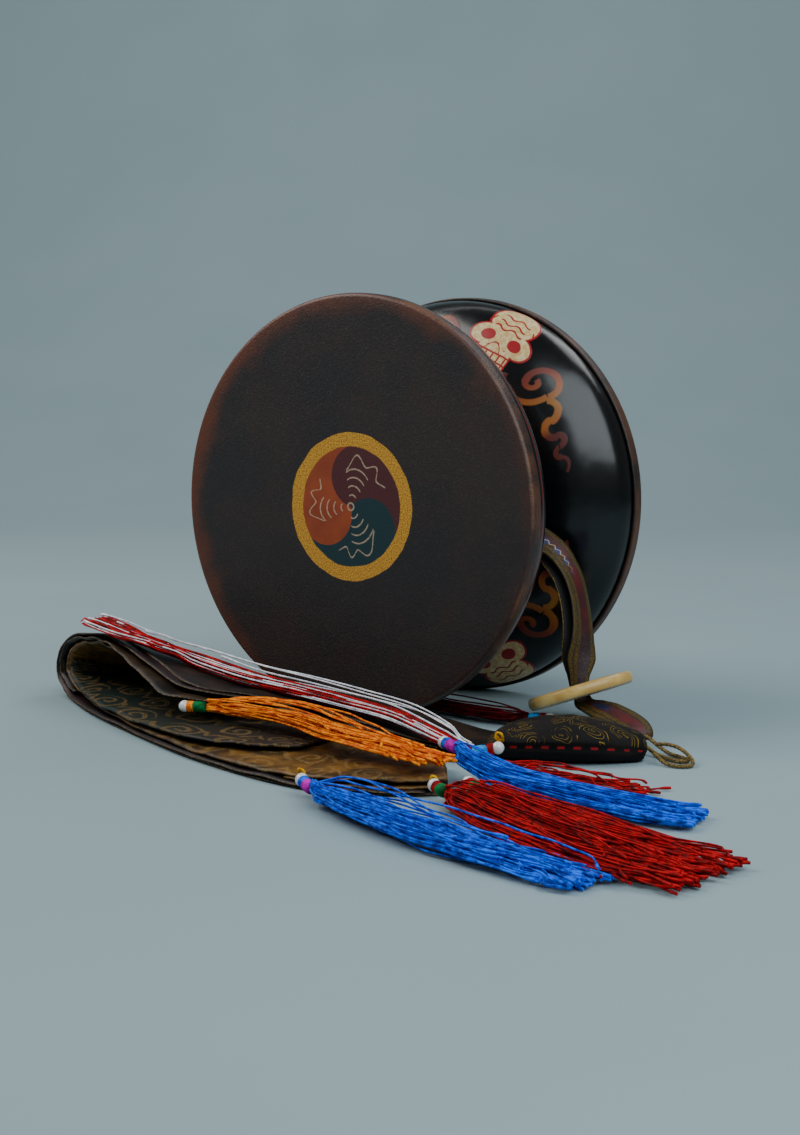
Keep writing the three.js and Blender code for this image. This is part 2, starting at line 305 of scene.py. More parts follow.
def settle(name, body, materials, node=None, sharp=None):
    """Makes a piece of a finished bmesh; edges sharper than sharp, in degrees, stay sharp."""
    if sharp is not None:
        for edge in body.edges:
            if len(edge.link_faces) == 2 and edge.calc_face_angle(0) > math.radians(sharp):
                edge.smooth = False
    mesh = bpy.data.meshes.new(name)
    body.to_mesh(mesh)
    body.free()
    return settle_mesh(name, mesh, materials, node)


def settle_mesh(name, mesh, materials, node=None):
    """Makes an object of a mesh, riding on the drum and standing for its CAD node."""
    mesh.polygons.foreach_set("use_smooth", [True] * len(mesh.polygons))
    mesh.materials.clear()
    for material in materials:
        mesh.materials.append(material)
    piece = bpy.data.objects.new(name, mesh)
    bpy.context.scene.collection.objects.link(piece)
    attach(piece, "root")
    if node:
        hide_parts(node)
    return piece


def spun(section, steps, closed=True):
    """A bmesh turned about the drum's axis from [radius, y] pairs in millimetres."""
    body = bmesh.new()
    corners = [body.verts.new(at(radius, y, AXIS)) for radius, y in section]
    edges = [body.edges.new(pair) for pair in zip(corners, corners[1:])]
    if closed:
        edges.append(body.edges.new((corners[-1], corners[0])))
    bmesh.ops.spin(
        body, geom=corners + edges, cent=at(0, 0, AXIS), axis=(0, 1, 0), dvec=(0, 0, 0),
        angle=math.tau, steps=steps, use_merge=True,
    )
    bmesh.ops.remove_doubles(body, verts=body.verts, dist=0.02 * MM)
    bmesh.ops.recalc_face_normals(body, faces=body.faces)
    return body


def add_attribute(piece, name, values):
    layer = piece.data.attributes.new(name, "FLOAT", "POINT")
    layer.data.foreach_set("value", values)


def smooth_line(points):
    """A smooth line through points, as a function of a share from 0 to 1."""
    corners = [Vector(point) for point in points]
    ends = [corners[0] * 2 - corners[1], *corners, corners[-1] * 2 - corners[-2]]

    def line(share):
        place = min(max(share, 0), 1) * (len(corners) - 1)
        low = min(int(place), len(corners) - 2)
        t = place - low
        before, start, end, after = ends[low:low + 4]
        return 0.5 * (
            2 * start + (end - before) * t + (2 * before - 5 * start + 4 * end - after) * t * t
            + (3 * start - before - 3 * end + after) * t ** 3
        )

    return line


def tangent(line, share):
    step = 1e-3
    return (line(min(share + step, 1)) - line(max(share - step, 0))).normalized()


def read(values, share):
    """A number read from an even row of them."""
    place = min(max(share, 0), 1) * (len(values) - 1)
    low = min(int(place), len(values) - 2)
    return values[low] + (values[low + 1] - values[low]) * (place - low)


def tubes(name, strands, thickness, materials, node=None, rounds=0):
    """Many thin tubes as one piece. A strand is its points, its radius shares and its material's number."""
    line = bpy.data.curves.new(name, "CURVE")
    line.dimensions = "3D"
    line.bevel_depth = thickness / 2 * MM
    line.bevel_resolution = rounds
    line.use_fill_caps = True
    for material in materials:
        line.materials.append(material)
    for points, radii, number in strands:
        spline = line.splines.new("POLY")
        spline.points.add(len(points) - 1)
        for corner, place, radius in zip(spline.points, points, radii):
            corner.co = (*at(*place), 1)
            corner.radius = radius
        spline.material_index = number
        spline.use_smooth = True
    holder = bpy.data.objects.new(name + "_line", line)
    bpy.context.scene.collection.objects.link(holder)
    mesh = bpy.data.meshes.new_from_object(holder)
    mesh.name = name
    numbers = [polygon.material_index for polygon in mesh.polygons]
    bpy.data.objects.remove(holder)
    bpy.data.curves.remove(line)
    piece = settle_mesh(name, mesh, materials, node)
    piece.data.polygons.foreach_set("material_index", numbers)
    return piece


# ---------------------------------------------------------------- cords

# The doubled loops of the cords, as places from their root out and back.
STRAP_CORD = [
    [225.6, -62.2, 9], [233, -66, 7.6], [242, -71, 4.6], [252, -76, 2], [262, -80.5, 1.6], [269.5, -85, 1.6],
    [271.5, -90, 1.6], [267, -93, 1.6], [259.5, -90.5, 1.6], [249.5, -85.5, 2], [239, -79.5, 4.2], [230, -73.5, 7],
    [222.4, -68, 8.6],
]
TAIL_CORD = [
    [247.4, -85.6, 9], [254, -82.6, 9.2], [262, -83.4, 8.2], [270, -87.4, 6], [277, -93, 3], [279.5, -99.5, 1.6],
    [277.5, -105, 1.6], [271.5, -107, 1.6], [264.5, -106, 2.4], [257.5, -102.6, 4.8], [250.8, -97.8, 7.4],
]
CORD_THICKNESS = 2.8
PLY_COUNT = 3
PLY_THICKNESS = 1.9
PLY_TURN = 9


def add_cord(name, points, material):
    """A cord of plies twisted about its own line."""
    line = smooth_line(points)
    count = 132
    path = [line(step / count) for step in range(count + 1)]
    length = sum((b - a).length for a, b in zip(path, path[1:]))
    offset = (CORD_THICKNESS - PLY_THICKNESS) / 2
    strands = []
    for ply in range(PLY_COUNT):
        run = 0
        strand = []
        for step, centre in enumerate(path):
            if step:
                run += (centre - path[step - 1]).length
            along = tangent(line, step / count)
            side = along.cross(Vector((0, 0, 1))).normalized()
            turn = math.tau * (run / PLY_TURN + ply / PLY_COUNT)
            strand.append(centre + (side * math.cos(turn) + side.cross(along) * math.sin(turn)) * offset)
        strands.append((strand, [1] * len(strand), 0))
    piece = tubes(name + "_twisted", strands, PLY_THICKNESS, [material], name, rounds=1)
    [at(*centre) for centre in path]


gold_cord = mottled(
    "gold_cord", shade(52, 38, 4), shade(140, 110, 24), (0.35, 0.7), (0.9, 3), (2.2, 2), 0.25, 0.6, Roughness=0.5,
)
add_cord("strap_cord", STRAP_CORD, gold_cord)
add_cord("tail_cord", TAIL_CORD, gold_cord)

# ---------------------------------------------------------------- shell

BOWL_STEPS = 20


def bowl_arc(edge_radius, neck_radius, edge, neck):
    """The hollow curve of one bowl, from its rim in to the waist."""
    arc = []
    for step in range(BOWL_STEPS + 1):
        turn = math.pi / 2 * step / BOWL_STEPS
        arc.append((neck_radius + (edge_radius - neck_radius) * math.cos(turn), edge + (neck - edge) * math.sin(turn)))
    return arc


def mirrored(points):
    return [(radius, -y) for radius, y in points]


def shell_section():
    """The outline of the shell's outside, from the rim to the waist, and its whole closed section."""
    outer = [(SHELL_RADIUS, SHELL_FACE), *bowl_arc(SHELL_RADIUS, WAIST_RADIUS, BOWL_EDGE, WAIST_HALF)]
    inner = [
        (SHELL_RADIUS - WALL, SHELL_FACE),
        *bowl_arc(SHELL_RADIUS - WALL, WAIST_BORE, BOWL_EDGE, WAIST_HALF + WALL),
    ]
    return outer, outer + mirrored(outer)[::-1] + mirrored(inner) + inner[::-1]


def arc_lengths(points):
    """How far each point of an outline is from its first, along it."""
    lengths = [0]
    for (r0, y0), (r1, y1) in zip(points, points[1:]):
        lengths.append(lengths[-1] + math.hypot(r1 - r0, y1 - y0))
    return lengths


# The painted masks are drawn on the bowls in millimetres: across is round the bowl and up is towards the rim.
SKULL_TURN = 66.25
SKULL_TURN_SPACING = 123
SKULL_HEIGHT = 45
SCROLL_TURN = 33.5


def skull(across, up):
    """Masks of a painted skull: its bone, and the red lines, eyes and teeth on it."""
    def oval(x, y, wide, high, side=across):
        return (((side - x) / wide) ** 2 + ((up - y) / high) ** 2).root() - 1

    both = abs(across)
    crown = oval(0, 17.5, 20.5, 16.5) * 17
    cheek = oval(14.5, -0.5, 13, 10, both) * 11
    jaw = (both - 15).most(abs(up + 14.5) - 7.5)
    bridge = (both - 8).most(abs(up - 2) - 12)
    shape = crown.least(cheek).least(jaw).least(bridge)
    bone = shape.rise(0.25, -0.25)
    outline = (shape + 0.5).within(0.75, 0.25)
    eyes = oval(12, -0.7, 6.0, 4.8, both).rise(0.06, -0.06)
    wave = (across * (math.tau / 14)).sine() * 1.5
    brows = joined(
        (up - height - wave).within(0.75, 0.25) * both.rise(reach + 0.5, reach - 0.5)
        for height, reach in ((20, 12.5), (13.6, 12), (8.4, 12.8))
    )
    temple = (both - 20.5 + (up - 9) * 0.42).within(0.7, 0.25) * (up - 13).within(4.2, 0.4)
    nose = ((across + 1.5) ** 2 * 0.16 + up + 4.2).within(0.7, 0.25) * (up + 8).within(4.2, 0.3)
    gum = (up + 12).within(0.7, 0.25) * both.rise(16.4, 15.8)
    bite = (up + 18).within(0.65, 0.25) * both.rise(15, 14.5)
    gaps = ((across / 5.4 + 0.3).fraction() - 0.5).within(0.12, 0.03) * (up + 17).within(4.8, 0.3)
    red = joined([outline, eyes, brows, temple, nose, gum, bite, gaps])
    return bone, red.least(shape.rise(0.8, 0.2))


def arc_band(across, up, centre, radius, start, sweep, half):
    """A painted band along a part of a circle, from a start angle through a sweep, in degrees."""
    x, y = across - centre[0], up - centre[1]
    ring = (radius_of(x, y) - radius).within(half, 0.7)
    angle = ((y.degrees(x) - start) / 360 + 2).fraction() * 360
    return ring * angle.rise(sweep + 3, sweep - 1)


# Each arc of the scroll: its centre, radius, start angle, sweep and half its width.
SCROLL_ARCS = [
    ((-32, -12.5), 17.5, 205, 165, 2.4), ((-25, -6.5), 11.5, -10, 235, 2.7), ((-29.8, -12), 4.2, 215, 240, 2.1),
    ((-5, -14.5), 8.0, -8, 160, 2.6), ((8.5, -16.5), 6.3, 170, 190, 2.5),
    ((18.5, -16), 4.2, 0, 180, 2.3), ((26.3, -17), 3.6, 180, 180, 1.9), ((36.5, -20), 7.0, 40, 120, 1.2),
]


def scroll(across, up):
    """The mask of a painted flame scroll: a hook that closes in a spiral curl, then a wavering, thinning tail."""
    return joined(arc_band(across, up, *arc) for arc in SCROLL_ARCS)


def lacquer_finish():
    finish = Finish("black_lacquer", Coat_Weight=0.25, Coat_Roughness=0.22, Specular_IOR_Level=0.4)
    place = finish.place(at(0, 0, AXIS))
    x, y, z = place.split()
    radius = radius_of(x, z)
    turn = z.degrees(x)
    folded = SKULL_TURN_SPACING - abs(abs(turn + 0.75) - SKULL_TURN_SPACING)
    wobble = finish.noise(place, 0.09, 2) - 0.5
    rim = finish.attribute("from_rim")
    up = SKULL_HEIGHT - rim + wobble * 1.6
    arc = radius * (math.pi / 180)
    across = (SKULL_TURN - folded) * arc + wobble * 1.4
    bone, red = skull(across, up)
    beside = abs(across) - arc * SCROLL_TURN
    flame = scroll(beside, up)
    outside = finish.attribute("outside")
    age = finish.noise(place, 0.35, 4, 0.6)
    speck = finish.noise(place, 1.4, 3, 0.6)
    flame_color = finish.ramp((beside + 45) / 90, [
        (0.0, shade(78, 22, 16)), (0.16, shade(112, 40, 18)), (0.3, shade(140, 74, 20)), (0.42, shade(146, 96, 30)),
        (0.56, shade(150, 80, 20)), (0.64, shade(86, 26, 16)), (1.0, shade(80, 22, 14)),
    ])
    bone_color = finish.mix(age.rise(0.35, 0.68), shade(190, 156, 96), shade(214, 194, 150))
    bone_color = finish.mix(speck.rise(0.6, 0.75) * 0.5, bone_color, shade(150, 120, 66))
    red_color = finish.mix(speck.rise(0.3, 0.7), shade(120, 0, 10), shade(170, 0, 22))
    bare = finish.mix(age.rise(0.3, 0.8), shade(2, 3, 4), shade(8, 9, 11))
    worn = age.rise(0.2, 0.36)
    color = finish.mix(flame * outside * (worn * 0.25 + 0.72), bare, flame_color)
    color = finish.mix(bone * outside, color, bone_color)
    color = finish.mix(red * outside, color, red_color)
    stripe = (rim - 15.8 + wobble).within(0.85, 0.25) * outside * y.rise(1, -1)
    color = finish.mix(stripe * 0.85, color, shade(120, 10, 12))
    painted = bone.most(flame).most(stripe) * outside
    streak = finish.noise(finish.vector(turn * 0.9, rim * 0.05), 1.2, 4, 0.65)
    rough = streak * 0.08 + 0.17 + painted * 0.2
    height = painted * 0.25 + finish.noise(place, 0.06, 1) * 2.2 + streak * 0.05
    return finish.wear(color, height, 0.3, 0.6, Roughness=rough)


def add_shell():
    outer, section = shell_section()
    piece = settle("drum_shell_lacquered", spun(section, 128), [lacquer_finish()], "drum_shell", sharp=35)
    run = arc_lengths(outer)
    from_rim, outside = [], []
    for corner in piece.data.vertices:
        place = (corner.co - at(0, 0, AXIS)) / MM
        radius, y = math.hypot(place.x, place.z), abs(place.y)
        nearest = min(range(len(outer)), key=lambda k: math.hypot(outer[k][0] - radius, outer[k][1] - y))
        gap = math.hypot(outer[nearest][0] - radius, outer[nearest][1] - y)
        from_rim.append(run[nearest])
        outside.append(1.0 if gap < 1 else 0.0)
    add_attribute(piece, "from_rim", from_rim)
    add_attribute(piece, "outside", outside)


add_shell()

# ---------------------------------------------------------------- heads

MEDALLION_RADIUS = 52.6
SWIRL_RADIUS = 42.5


def swirl(finish, x, z, radius, turn):
    """The three-lobed swirl in its gold ring: its mask and its colour."""
    hand = finish.noise(finish.vector(x, z), 0.05, 2) - 0.5
    edge = radius + hand * 3
    ring = edge.rise(MEDALLION_RADIUS + 0.3, MEDALLION_RADIUS - 0.3)
    inner = edge.rise(SWIRL_RADIUS + 0.3, SWIRL_RADIUS - 0.3)
    bend = (radius * (1 / (1.048 * SWIRL_RADIUS))).least(1).arc_cosine() * (180 / math.pi) - 17.3
    third = ((turn - bend - 93 + 720) / 120).floor()
    lobe = (third / 3).fraction()
    orange = finish.mix(hand.rise(-0.2, 0.2), shade(134, 52, 18), shade(152, 64, 24))
    maroon = shade(74, 24, 28)
    teal = shade(4, 44, 50)
    color = finish.mix(lobe.rise(0.1, 0.2), orange, teal)
    color = finish.mix(lobe.rise(0.45, 0.55), color, maroon)
    spoke = finish.level((turn / 360 + 1).fraction(), [
        (0.0, 0.0), (0.217, 0.19), (0.519, 0.525), (0.811, 0.858), (1.0, 1.0),
    ])
    local = ((spoke * 360 - 69 + 60 + 360) / 120).fraction() * 120 - 60
    side = (local * (math.pi / 180)).sine() * radius
    along = (local * (math.pi / 180)).cosine() * radius
    shell = along + side ** 2 / (along.most(1) * 0.9)
    waves = joined((shell - place).within(0.55, 0.2) for place in (8.5, 15, 21, 27))
    waves = waves * (abs(side) - along * 0.42).rise(0.4, -0.4)
    cloud_height = finish.level(local / 120 + 0.5, [
        (0.0, 0.33), (0.1, 0.335), (0.22, 0.29), (0.3, 0.36), (0.4, 0.31), (0.52, 0.37), (0.6, 0.31), (0.68, 0.26),
    ], "CARDINAL") * 100
    cloud = (radius - cloud_height).within(0.6, 0.25) * (local + 12).within(34, 1.5)
    heart = (radius - 2.6).within(0.6, 0.25)
    lines = waves.most(cloud).most(heart)
    patchy = finish.noise(finish.vector(x, z), 0.5, 3, 0.6)
    color = finish.mix(lines * (patchy.rise(0.25, 0.6) * 0.55 + 0.25), color, shade(192, 168, 140))
    fleck = finish.noise(finish.vector(x, z), 0.95, 4, 0.7)
    gold = finish.mix(fleck.rise(0.34, 0.62), shade(132, 88, 16), shade(220, 160, 52))
    gold = finish.mix((1 - inner) * fleck.rise(0.62, 0.72), gold, shade(226, 186, 96))
    return ring, inner, finish.mix(inner, gold, color)


def leather_finish(name, painted):
    finish = Finish(name)
    place = finish.place(at(0, 0, AXIS))
    x, y, z = place.split()
    radius = radius_of(x, z)
    turn = z.degrees(x)
    broad = finish.noise(place, 0.012, 4, 0.6)
    patch = finish.noise(place, 0.035, 4, 0.6)
    fine = finish.noise(place, 0.5, 3, 0.6)
    warm = finish.mix(broad.rise(0.36, 0.66), shade(32, 29, 31), shade(44, 34, 31))
    color = finish.mix(patch.rise(0.48, 0.8) * 0.4, warm, shade(58, 34, 24))
    color = finish.mix(fine.rise(0.5, 0.8) * 0.22, color, shade(92, 72, 60))
    # Rust-brown along the rim: partly the leather's own rust-brown edge wear, partly painted light, painted stronger
    # and reaching further in on the upper left, the side the left lamp lights.
    lit_side = ((turn - 150) * (math.pi / 180)).cosine() * 0.5 + 0.5
    edge = (radius + patch * 26 + lit_side * 7).rise(150, 168)
    color = finish.mix(edge * (lit_side * 0.5 + 0.15), color, shade(110, 52, 24))
    # Painted glint: a thin, lighter brown line in patches along the rounded edge of the rim, where a reflection would
    # fall.
    rim_glint = (radius + fine * 3).rise(149.2, 151.2) * patch.rise(0.4, 0.6)
    color = finish.mix(rim_glint * 0.5, color, shade(126, 84, 56))
    skirt = (FACE - abs(y)).rise(1.6, 2.8)
    band = finish.mix(patch.rise(0.35, 0.65), shade(38, 26, 22), shade(84, 50, 32))
    band = finish.mix((FACE - abs(y)).rise(9.6, 10.8) * 0.7, band, shade(22, 18, 16))
    color = finish.mix(skirt, color, band)
    bent = finish.shift(place, finish.noise(place, 0.03, 2, output="Color"), 14)
    crease = abs(finish.noise(bent, 0.055, 3, 0.6) - 0.5)
    grown = finish.shift(place, finish.noise(place, 0.3, 1, output="Color"), 1.2)
    pebble = finish.node("TexVoronoi", {}, {"Vector": grown, "Scale": 0.8}, "Distance")
    hide = pebble * 0.55 + fine * 0.45
    height = hide + crease.rise(0.0, 0.02) * 0.12
    rough = 0.4 + fine * 0.16 - pebble * 0.05
    if painted:
        ring, inner, paint = swirl(finish, x, z, radius, turn)
        ring = ring * (1 - skirt)
        color = finish.mix(ring, color, paint)
        height = height * (1 - ring * 0.55) + ring * 0.2
        rough = rough * (1 - ring) + ring * (inner * 0.12 + 0.42)
    return finish.wear(color, height, 0.32, 0.75, Roughness=rough)


def add_head(name, node, side, material):
    """A skin stretched over a rim: its rounded edge, its lap and the small puckers along it."""
    soft = 3.2
    section = [(0, FACE)] + [(radius, FACE) for radius in (30, 60, 90, 120, 138)]
    for step in range(7):
        turn = math.pi / 2 * step / 6
        section.append((RIM_RADIUS - soft + soft * math.sin(turn), FACE - soft + soft * math.cos(turn)))
    section += [
        (RIM_RADIUS, FACE - 6), (RIM_RADIUS, FACE - 8.5), (RIM_RADIUS - 0.1, FACE - LAP + 0.4),
        (RIM_RADIUS - 0.6, FACE - LAP), (RIM_RADIUS - SKIN, FACE - LAP),
        (RIM_RADIUS - SKIN, FACE - SKIN), (0, FACE - SKIN),
    ]
    body = spun([(radius, side * y) for radius, y in section], 144, closed=False)
    centre = at(0, 0, AXIS)
    for corner in body.verts:
        place = (corner.co - centre) / MM
        radius = math.hypot(place.x, place.z)
        if radius > RIM_RADIUS - 1 and abs(place.y) < FACE - 4 and place.z > 20 - AXIS:
            pucker = noise.noise(Vector((math.atan2(place.z, place.x) * 26, side * 4, place.y * 0.05)))
            share = (FACE - 4 - abs(place.y)) / 7
            corner.co.y += side * 0.5 * pucker * share * MM
    settle(name, body, [material], node)


add_head("front_skin", "head_front", -1, leather_finish("front_leather", True))
add_head("back_skin", "head_back", 1, leather_finish("back_leather", False))

# ---------------------------------------------------------------- cloth

def skin_over(front, back):
    """A surface between two smooth edges: where it lies and which way it faces."""
    front_line, back_line = smooth_line(front), smooth_line(back)

    def place(u, v):
        return front_line(u).lerp(back_line(u), v)

    def facing(u, v):
        along = place(min(u + 0.004, 1), v) - place(max(u - 0.004, 0), v)
        return along.cross(back_line(u) - front_line(u)).normalized()

    return place, facing


def cloth_point(surface, span, reach, lift, wave):
    """A cloth's shape over a surface, from a share s along it and t across it."""
    place, facing = surface

    def point(s, t):
        u = span[0] + (span[1] - span[0]) * s
        front, back = read(reach[0], s), read(reach[1], s)
        v = front + (back - front) * t
        height = read(lift[0], s) + (read(lift[1], s) - read(lift[0], s)) * t ** 0.7
        size, step, seed = wave
        ripple = size * noise.noise(Vector((u * 1000 / step, v * 60 / step, seed)))
        spot = place(u, v) + facing(u, v) * (height + ripple)
        return Vector((spot.x, spot.y, max(spot.z, 0.8)))

    return point


def add_cloth(name, point, thickness, steps, material, node=None, hem=None):
    """A sheet of cloth shaped by a point function, with hem as the material and width of its front piping."""
    body = bmesh.new()
    body.loops.layers.uv.new("chart")
    bmesh.ops.create_grid(body, x_segments=steps[0], y_segments=steps[1], size=0.5, calc_uvs=True)
    for corner in body.verts:
        corner.co = at(*point(corner.co.x + 0.5, corner.co.y + 0.5))
    bmesh.ops.recalc_face_normals(body, faces=body.faces)
    lengths = [
        sum((point((k + 1) / 60, t) - point(k / 60, t)).length for k in range(60)) for t in (0, 0.5, 1)
    ]
    widths = [
        sum((point(s, (k + 1) / 8) - point(s, k / 8)).length for k in range(8)) for s in (0, 0.25, 0.5, 0.75, 1)
    ]
    piece = settle(name, body, [material], node)
    wall = piece.modifiers.new("thickness", "SOLIDIFY")
    wall.thickness = thickness * MM
    wall.offset = 0
    extras = [add_hem(name + "_hem", point, *hem)] if hem else []
    return piece


def add_hem(name, point, material, width):
    """A thin piping sewn along the front edge of a cloth."""
    count = 90
    strand, radii = [], []
    for k in range(count + 1):
        spot = point(k / count, 0)
        strand.append(spot + Vector((0, 0, noise.noise(spot * 0.35) * 0.5)))
        radii.append(1 + 0.35 * noise.noise(Vector((k * 0.7, 3, 1))))
    return tubes(name, [(strand, radii, 0)], width, [material])


def curls(along, across, cell):
    """A mask of woven cloud scrolls: rows of spirals whose stems run into each other."""
    row = (across / (cell * 0.62)).floor()
    shifted = along / cell + row * 0.5
    column = shifted.floor()
    flip = ((row + column) * 0.5).fraction() * 4 - 1
    x = (shifted.fraction() - 0.5) * cell * flip
    y = ((across / (cell * 0.62)).fraction() - 0.5) * cell * 0.62
    radius = radius_of(x, y)
    arm = (radius * (5.6 / cell) - y.angle(x) / math.tau + 2).fraction()
    spiral = (arm - 0.5).within(0.2, 0.07) * radius.rise(cell * 0.33, cell * 0.3)
    spiral = spiral * radius.rise(cell * 0.03, cell * 0.06)
    stem = (y - (x * (math.tau / cell)).sine() * cell * 0.2).within(cell * 0.05, cell * 0.015)
    return spiral.most(stem * radius.rise(cell * 0.28, cell * 0.32))


def satin_finish(name, dark, light, size, figure=0.0, gold=(0, 0, 0)):
    """A satin with a soft crushed look, and a woven figure where figure is above 0."""
    finish = Finish(name, Specular_IOR_Level=0.3)
    place = finish.place(MIDDLE)
    crushed = finish.shift(place, finish.noise(place, 0.04, 2, output="Color"), 18)
    broad = finish.noise(crushed, size, 3, 0.55)
    weave = finish.noise(finish.vectors("MULTIPLY", place, (1, 0.25, 1)), 1.8, 2)
    color = finish.mix(broad.rise(0.38, 0.66), dark, light)
    color = finish.tint(color, weave * 0.5 + 0.75)
    if figure:
        along, across = finish.chart(560, 80)
        curl = curls(along + broad * 14, across + broad * 8, 42)
        thread = finish.noise(place, 1.1, 2, 0.7).rise(0.4, 0.6)
        color = finish.mix(curl * thread * figure, color, gold)
    height = weave * 0.5 + finish.noise(place, 0.12, 3) * 1.5
    rough = 0.56 - broad * 0.16
    return finish.wear(color, height, 0.5, 0.5, Roughness=rough)


# The two edges of the tail's outer fold and of the fold nested in it, from the tip over the bend and back.
BANNER_FRONT = [
    [200, -254, 3], [172, -275, 3], [140, -286, 3], [100, -286, 3], [51, -274, 3], [-6, -254, 3],
    [-85, -217, 3], [-152, -183, 3], [-205, -150, 4], [-232, -136, 15], [-231, -136, 34], [-209, -145, 49],
    [-170, -162, 56], [-130, -180, 54], [-90, -197, 44], [-50, -211, 34], [-10, -196, 29], [30, -176, 23],
    [80, -165, 13], [120, -160, 6], [156, -157, 4],
]
BANNER_BACK = [
    [157, -191, 3], [140, -194, 3], [118, -198, 3], [95, -199, 3], [60, -190, 3], [25, -172, 3],
    [-49, -135, 3], [-116, -102, 3], [-168, -72, 3.4], [-196, -57, 9], [-196, -57, 19], [-175, -66, 25],
    [-136, -84, 27], [-98, -100, 26.4], [-65, -112, 25.4], [-35, -112, 24], [-8, -100, 22], [25, -95, 18],
    [75, -98, 12], [115, -97, 6], [144.5, -97, 4],
]
LINING_FRONT = [
    [198, -252, 9.8], [172, -271, 9.8], [140, -282, 9.8], [100, -282, 9.8], [51, -270, 9.8], [-6, -250, 9.8],
    [-85, -213, 9.8], [-150, -180, 9.8], [-196, -152, 12], [-217, -141, 20], [-216, -141, 32], [-200, -148, 42],
    [-168, -161, 48.4], [-133, -176, 46.4], [-100, -190, 38], [-70, -200, 30],
]
LINING_BACK = [
    [156, -193, 9.8], [140, -196, 9.8], [118, -200, 9.8], [95, -201, 9.8], [60, -192, 9.8], [25, -174, 9.8],
    [-47, -138, 9.8], [-112, -106, 9.8], [-156, -81, 9.8], [-176, -70, 11.4], [-176, -70, 15], [-164, -75, 17.4],
    [-134, -88, 18.8], [-104, -101, 18.8], [-80, -112, 18.4], [-60, -118, 17.8],
]


def flap_finish():
    """Green-grey brocade with wandering tan stitched bands."""
    finish = Finish("curl_brocade", Roughness=0.55, Specular_IOR_Level=0.3)
    place = finish.place(MIDDLE)
    x, _, _ = place.split()
    broad = finish.noise(place, 0.02, 2)
    ground = finish.ramp(x / 260 + broad * 0.3 + 0.62, [
        (0.0, shade(8, 26, 22)), (0.25, shade(16, 34, 29)), (0.5, shade(34, 38, 32)), (0.75, shade(36, 33, 27)),
        (1.0, shade(38, 29, 23)),
    ])
    ground = finish.tint(ground, finish.noise(place, 1.5, 2) * 0.6 + 0.7)
    along, across = finish.chart(312, 72)
    bend = finish.noise(place, 0.03, 1) * 16
    band = curls(along + bend, across + bend * 0.6, 38)
    bead = finish.noise(place, 1.0, 2, 0.7).rise(0.38, 0.6)
    color = finish.mix(band * 0.75, ground, shade(66, 50, 24))
    color = finish.mix(band * bead * 0.75, color, shade(124, 98, 52))
    height = band * (bead * 0.5 + 0.5) + finish.noise(place, 0.1, 3) * 1.2
    return finish.wear(color, height, 0.7, 0.7)


def add_tail():
    outer_satin = satin_finish("brown_black_satin", shade(13, 9, 7), shade(44, 31, 23), 0.03)
    maroon_satin = satin_finish("maroon_black_satin", shade(14, 5, 7), shade(36, 14, 18), 0.04)
    brown_satin = satin_finish("brown_satin", shade(12, 8, 5), shade(54, 37, 22), 0.035)
    gold_brocade = satin_finish(
        "gold_brown_brocade", shade(52, 34, 10), shade(112, 76, 28), 0.05, 0.45, shade(156, 128, 74),
    )
    banner = skin_over(BANNER_FRONT, BANNER_BACK)
    lining = skin_over(LINING_FRONT, LINING_BACK)
    piping = mottled(
        "gold_tan_piping", shade(26, 16, 10), shade(116, 88, 44), (0.42, 0.64), (0.55, 3, 0.65), (1.6, 2), 0.2, 0.7,
        Roughness=0.6,
    )
    hem = (piping, 0.9)

    outer = cloth_point(banner, (0, 1), ([0.03, 0, 0, 0, 0.0, 0.02, 0.16, 0.2, 0.12, 0.05, 0.03], [1, 1]),
                        ([1.9, 1.9, 1.9, 1.9, 1.9, 1.6, 1.2, 1.2, 1.6, 1.6, 1.6], [1.6, 1.6]), (1.3, 36, 2))
    add_cloth("tail_outer_cloth", outer, 1.5, (150, 22), outer_satin, "tail_banner",
              hem=hem)
    middle = cloth_point(banner, (0.02, 0.96),
                         ([0.0, -0.02, -0.015, -0.02, -0.01, 0.01, 0.06, 0.1, 0.05, 0.03], [0.97, 0.97]),
                         ([-0.2, -0.2], [0.0, 0.0]), (1.4, 30, 5))
    add_cloth("tail_maroon_cloth", middle, 1.3, (140, 18), maroon_satin,
              hem=hem)
    inner = cloth_point(banner, (0.4, 0.9), ([0.02, 0.015, 0.0, -0.02, -0.03, -0.01, 0.0], [0.96, 0.96]),
                        ([-2.6, -3.2, -3.4, -4.2, -5.0, -3.6, -2.4], [-2.4, -2.4]), (2.4, 26, 8))
    add_cloth("tail_satin_lining", inner, 1.2, (110, 18), brown_satin,
              hem=hem)
    lower = cloth_point(lining, (0.0, 0.98), ([0.03, 0.01, 0, -0.03, -0.04, 0, 0, 0, 0, 0.02, 0.05], [1, 1]),
                        ([0.6, 0.8, 3.6, 4.4, 3.4, 2.0, 1.6, 1.6, 1.2, 1.0, 1.0], [-0.6, -0.6]), (1.6, 24, 11))
    add_cloth("tail_gold_brocade", lower, 1.4, (140, 20), gold_brocade, "tail_lining")
    strip = cloth_point(lining, (0.012, 0.2), ([0.04, -0.02, 0.0], [0.9, 0.9]),
                        ([5.4, 5.2, 5.6], [3.6, 3.6]), (0.8, 20, 14))
    add_cloth("tail_brocade_fold", strip, 1.2, (40, 16), gold_brocade)
    flap = cloth_point(lining, (0.232, 0.66), ([0.5, 0.2, 0.0, -0.07, -0.06, -0.02, 0.0, 0.02, 0.05], [0.97, 0.97]),
                       ([-3.0, -2.6, -1.8, -1.4, -1.4, -1.4, -1.2, -1.2, -1.2], [-3.0, -2.4]), (1.2, 24, 17))
    add_cloth("tail_curl_flap", flap, 1.4, (90, 18), flap_finish())


add_tail()


# ---------------------------------------------------------------- tongue

TONGUE_LINE = [[153, -127, 0], [176, -122, 0], [200, -114, 0], [224, -104, 0], [245, -93, 0]]
TONGUE_HALF_WIDTHS = [28, 32, 34, 33, 29, 21, 12]
TONGUE_HEIGHTS = [16, 22, 25, 26, 25, 21, 16]


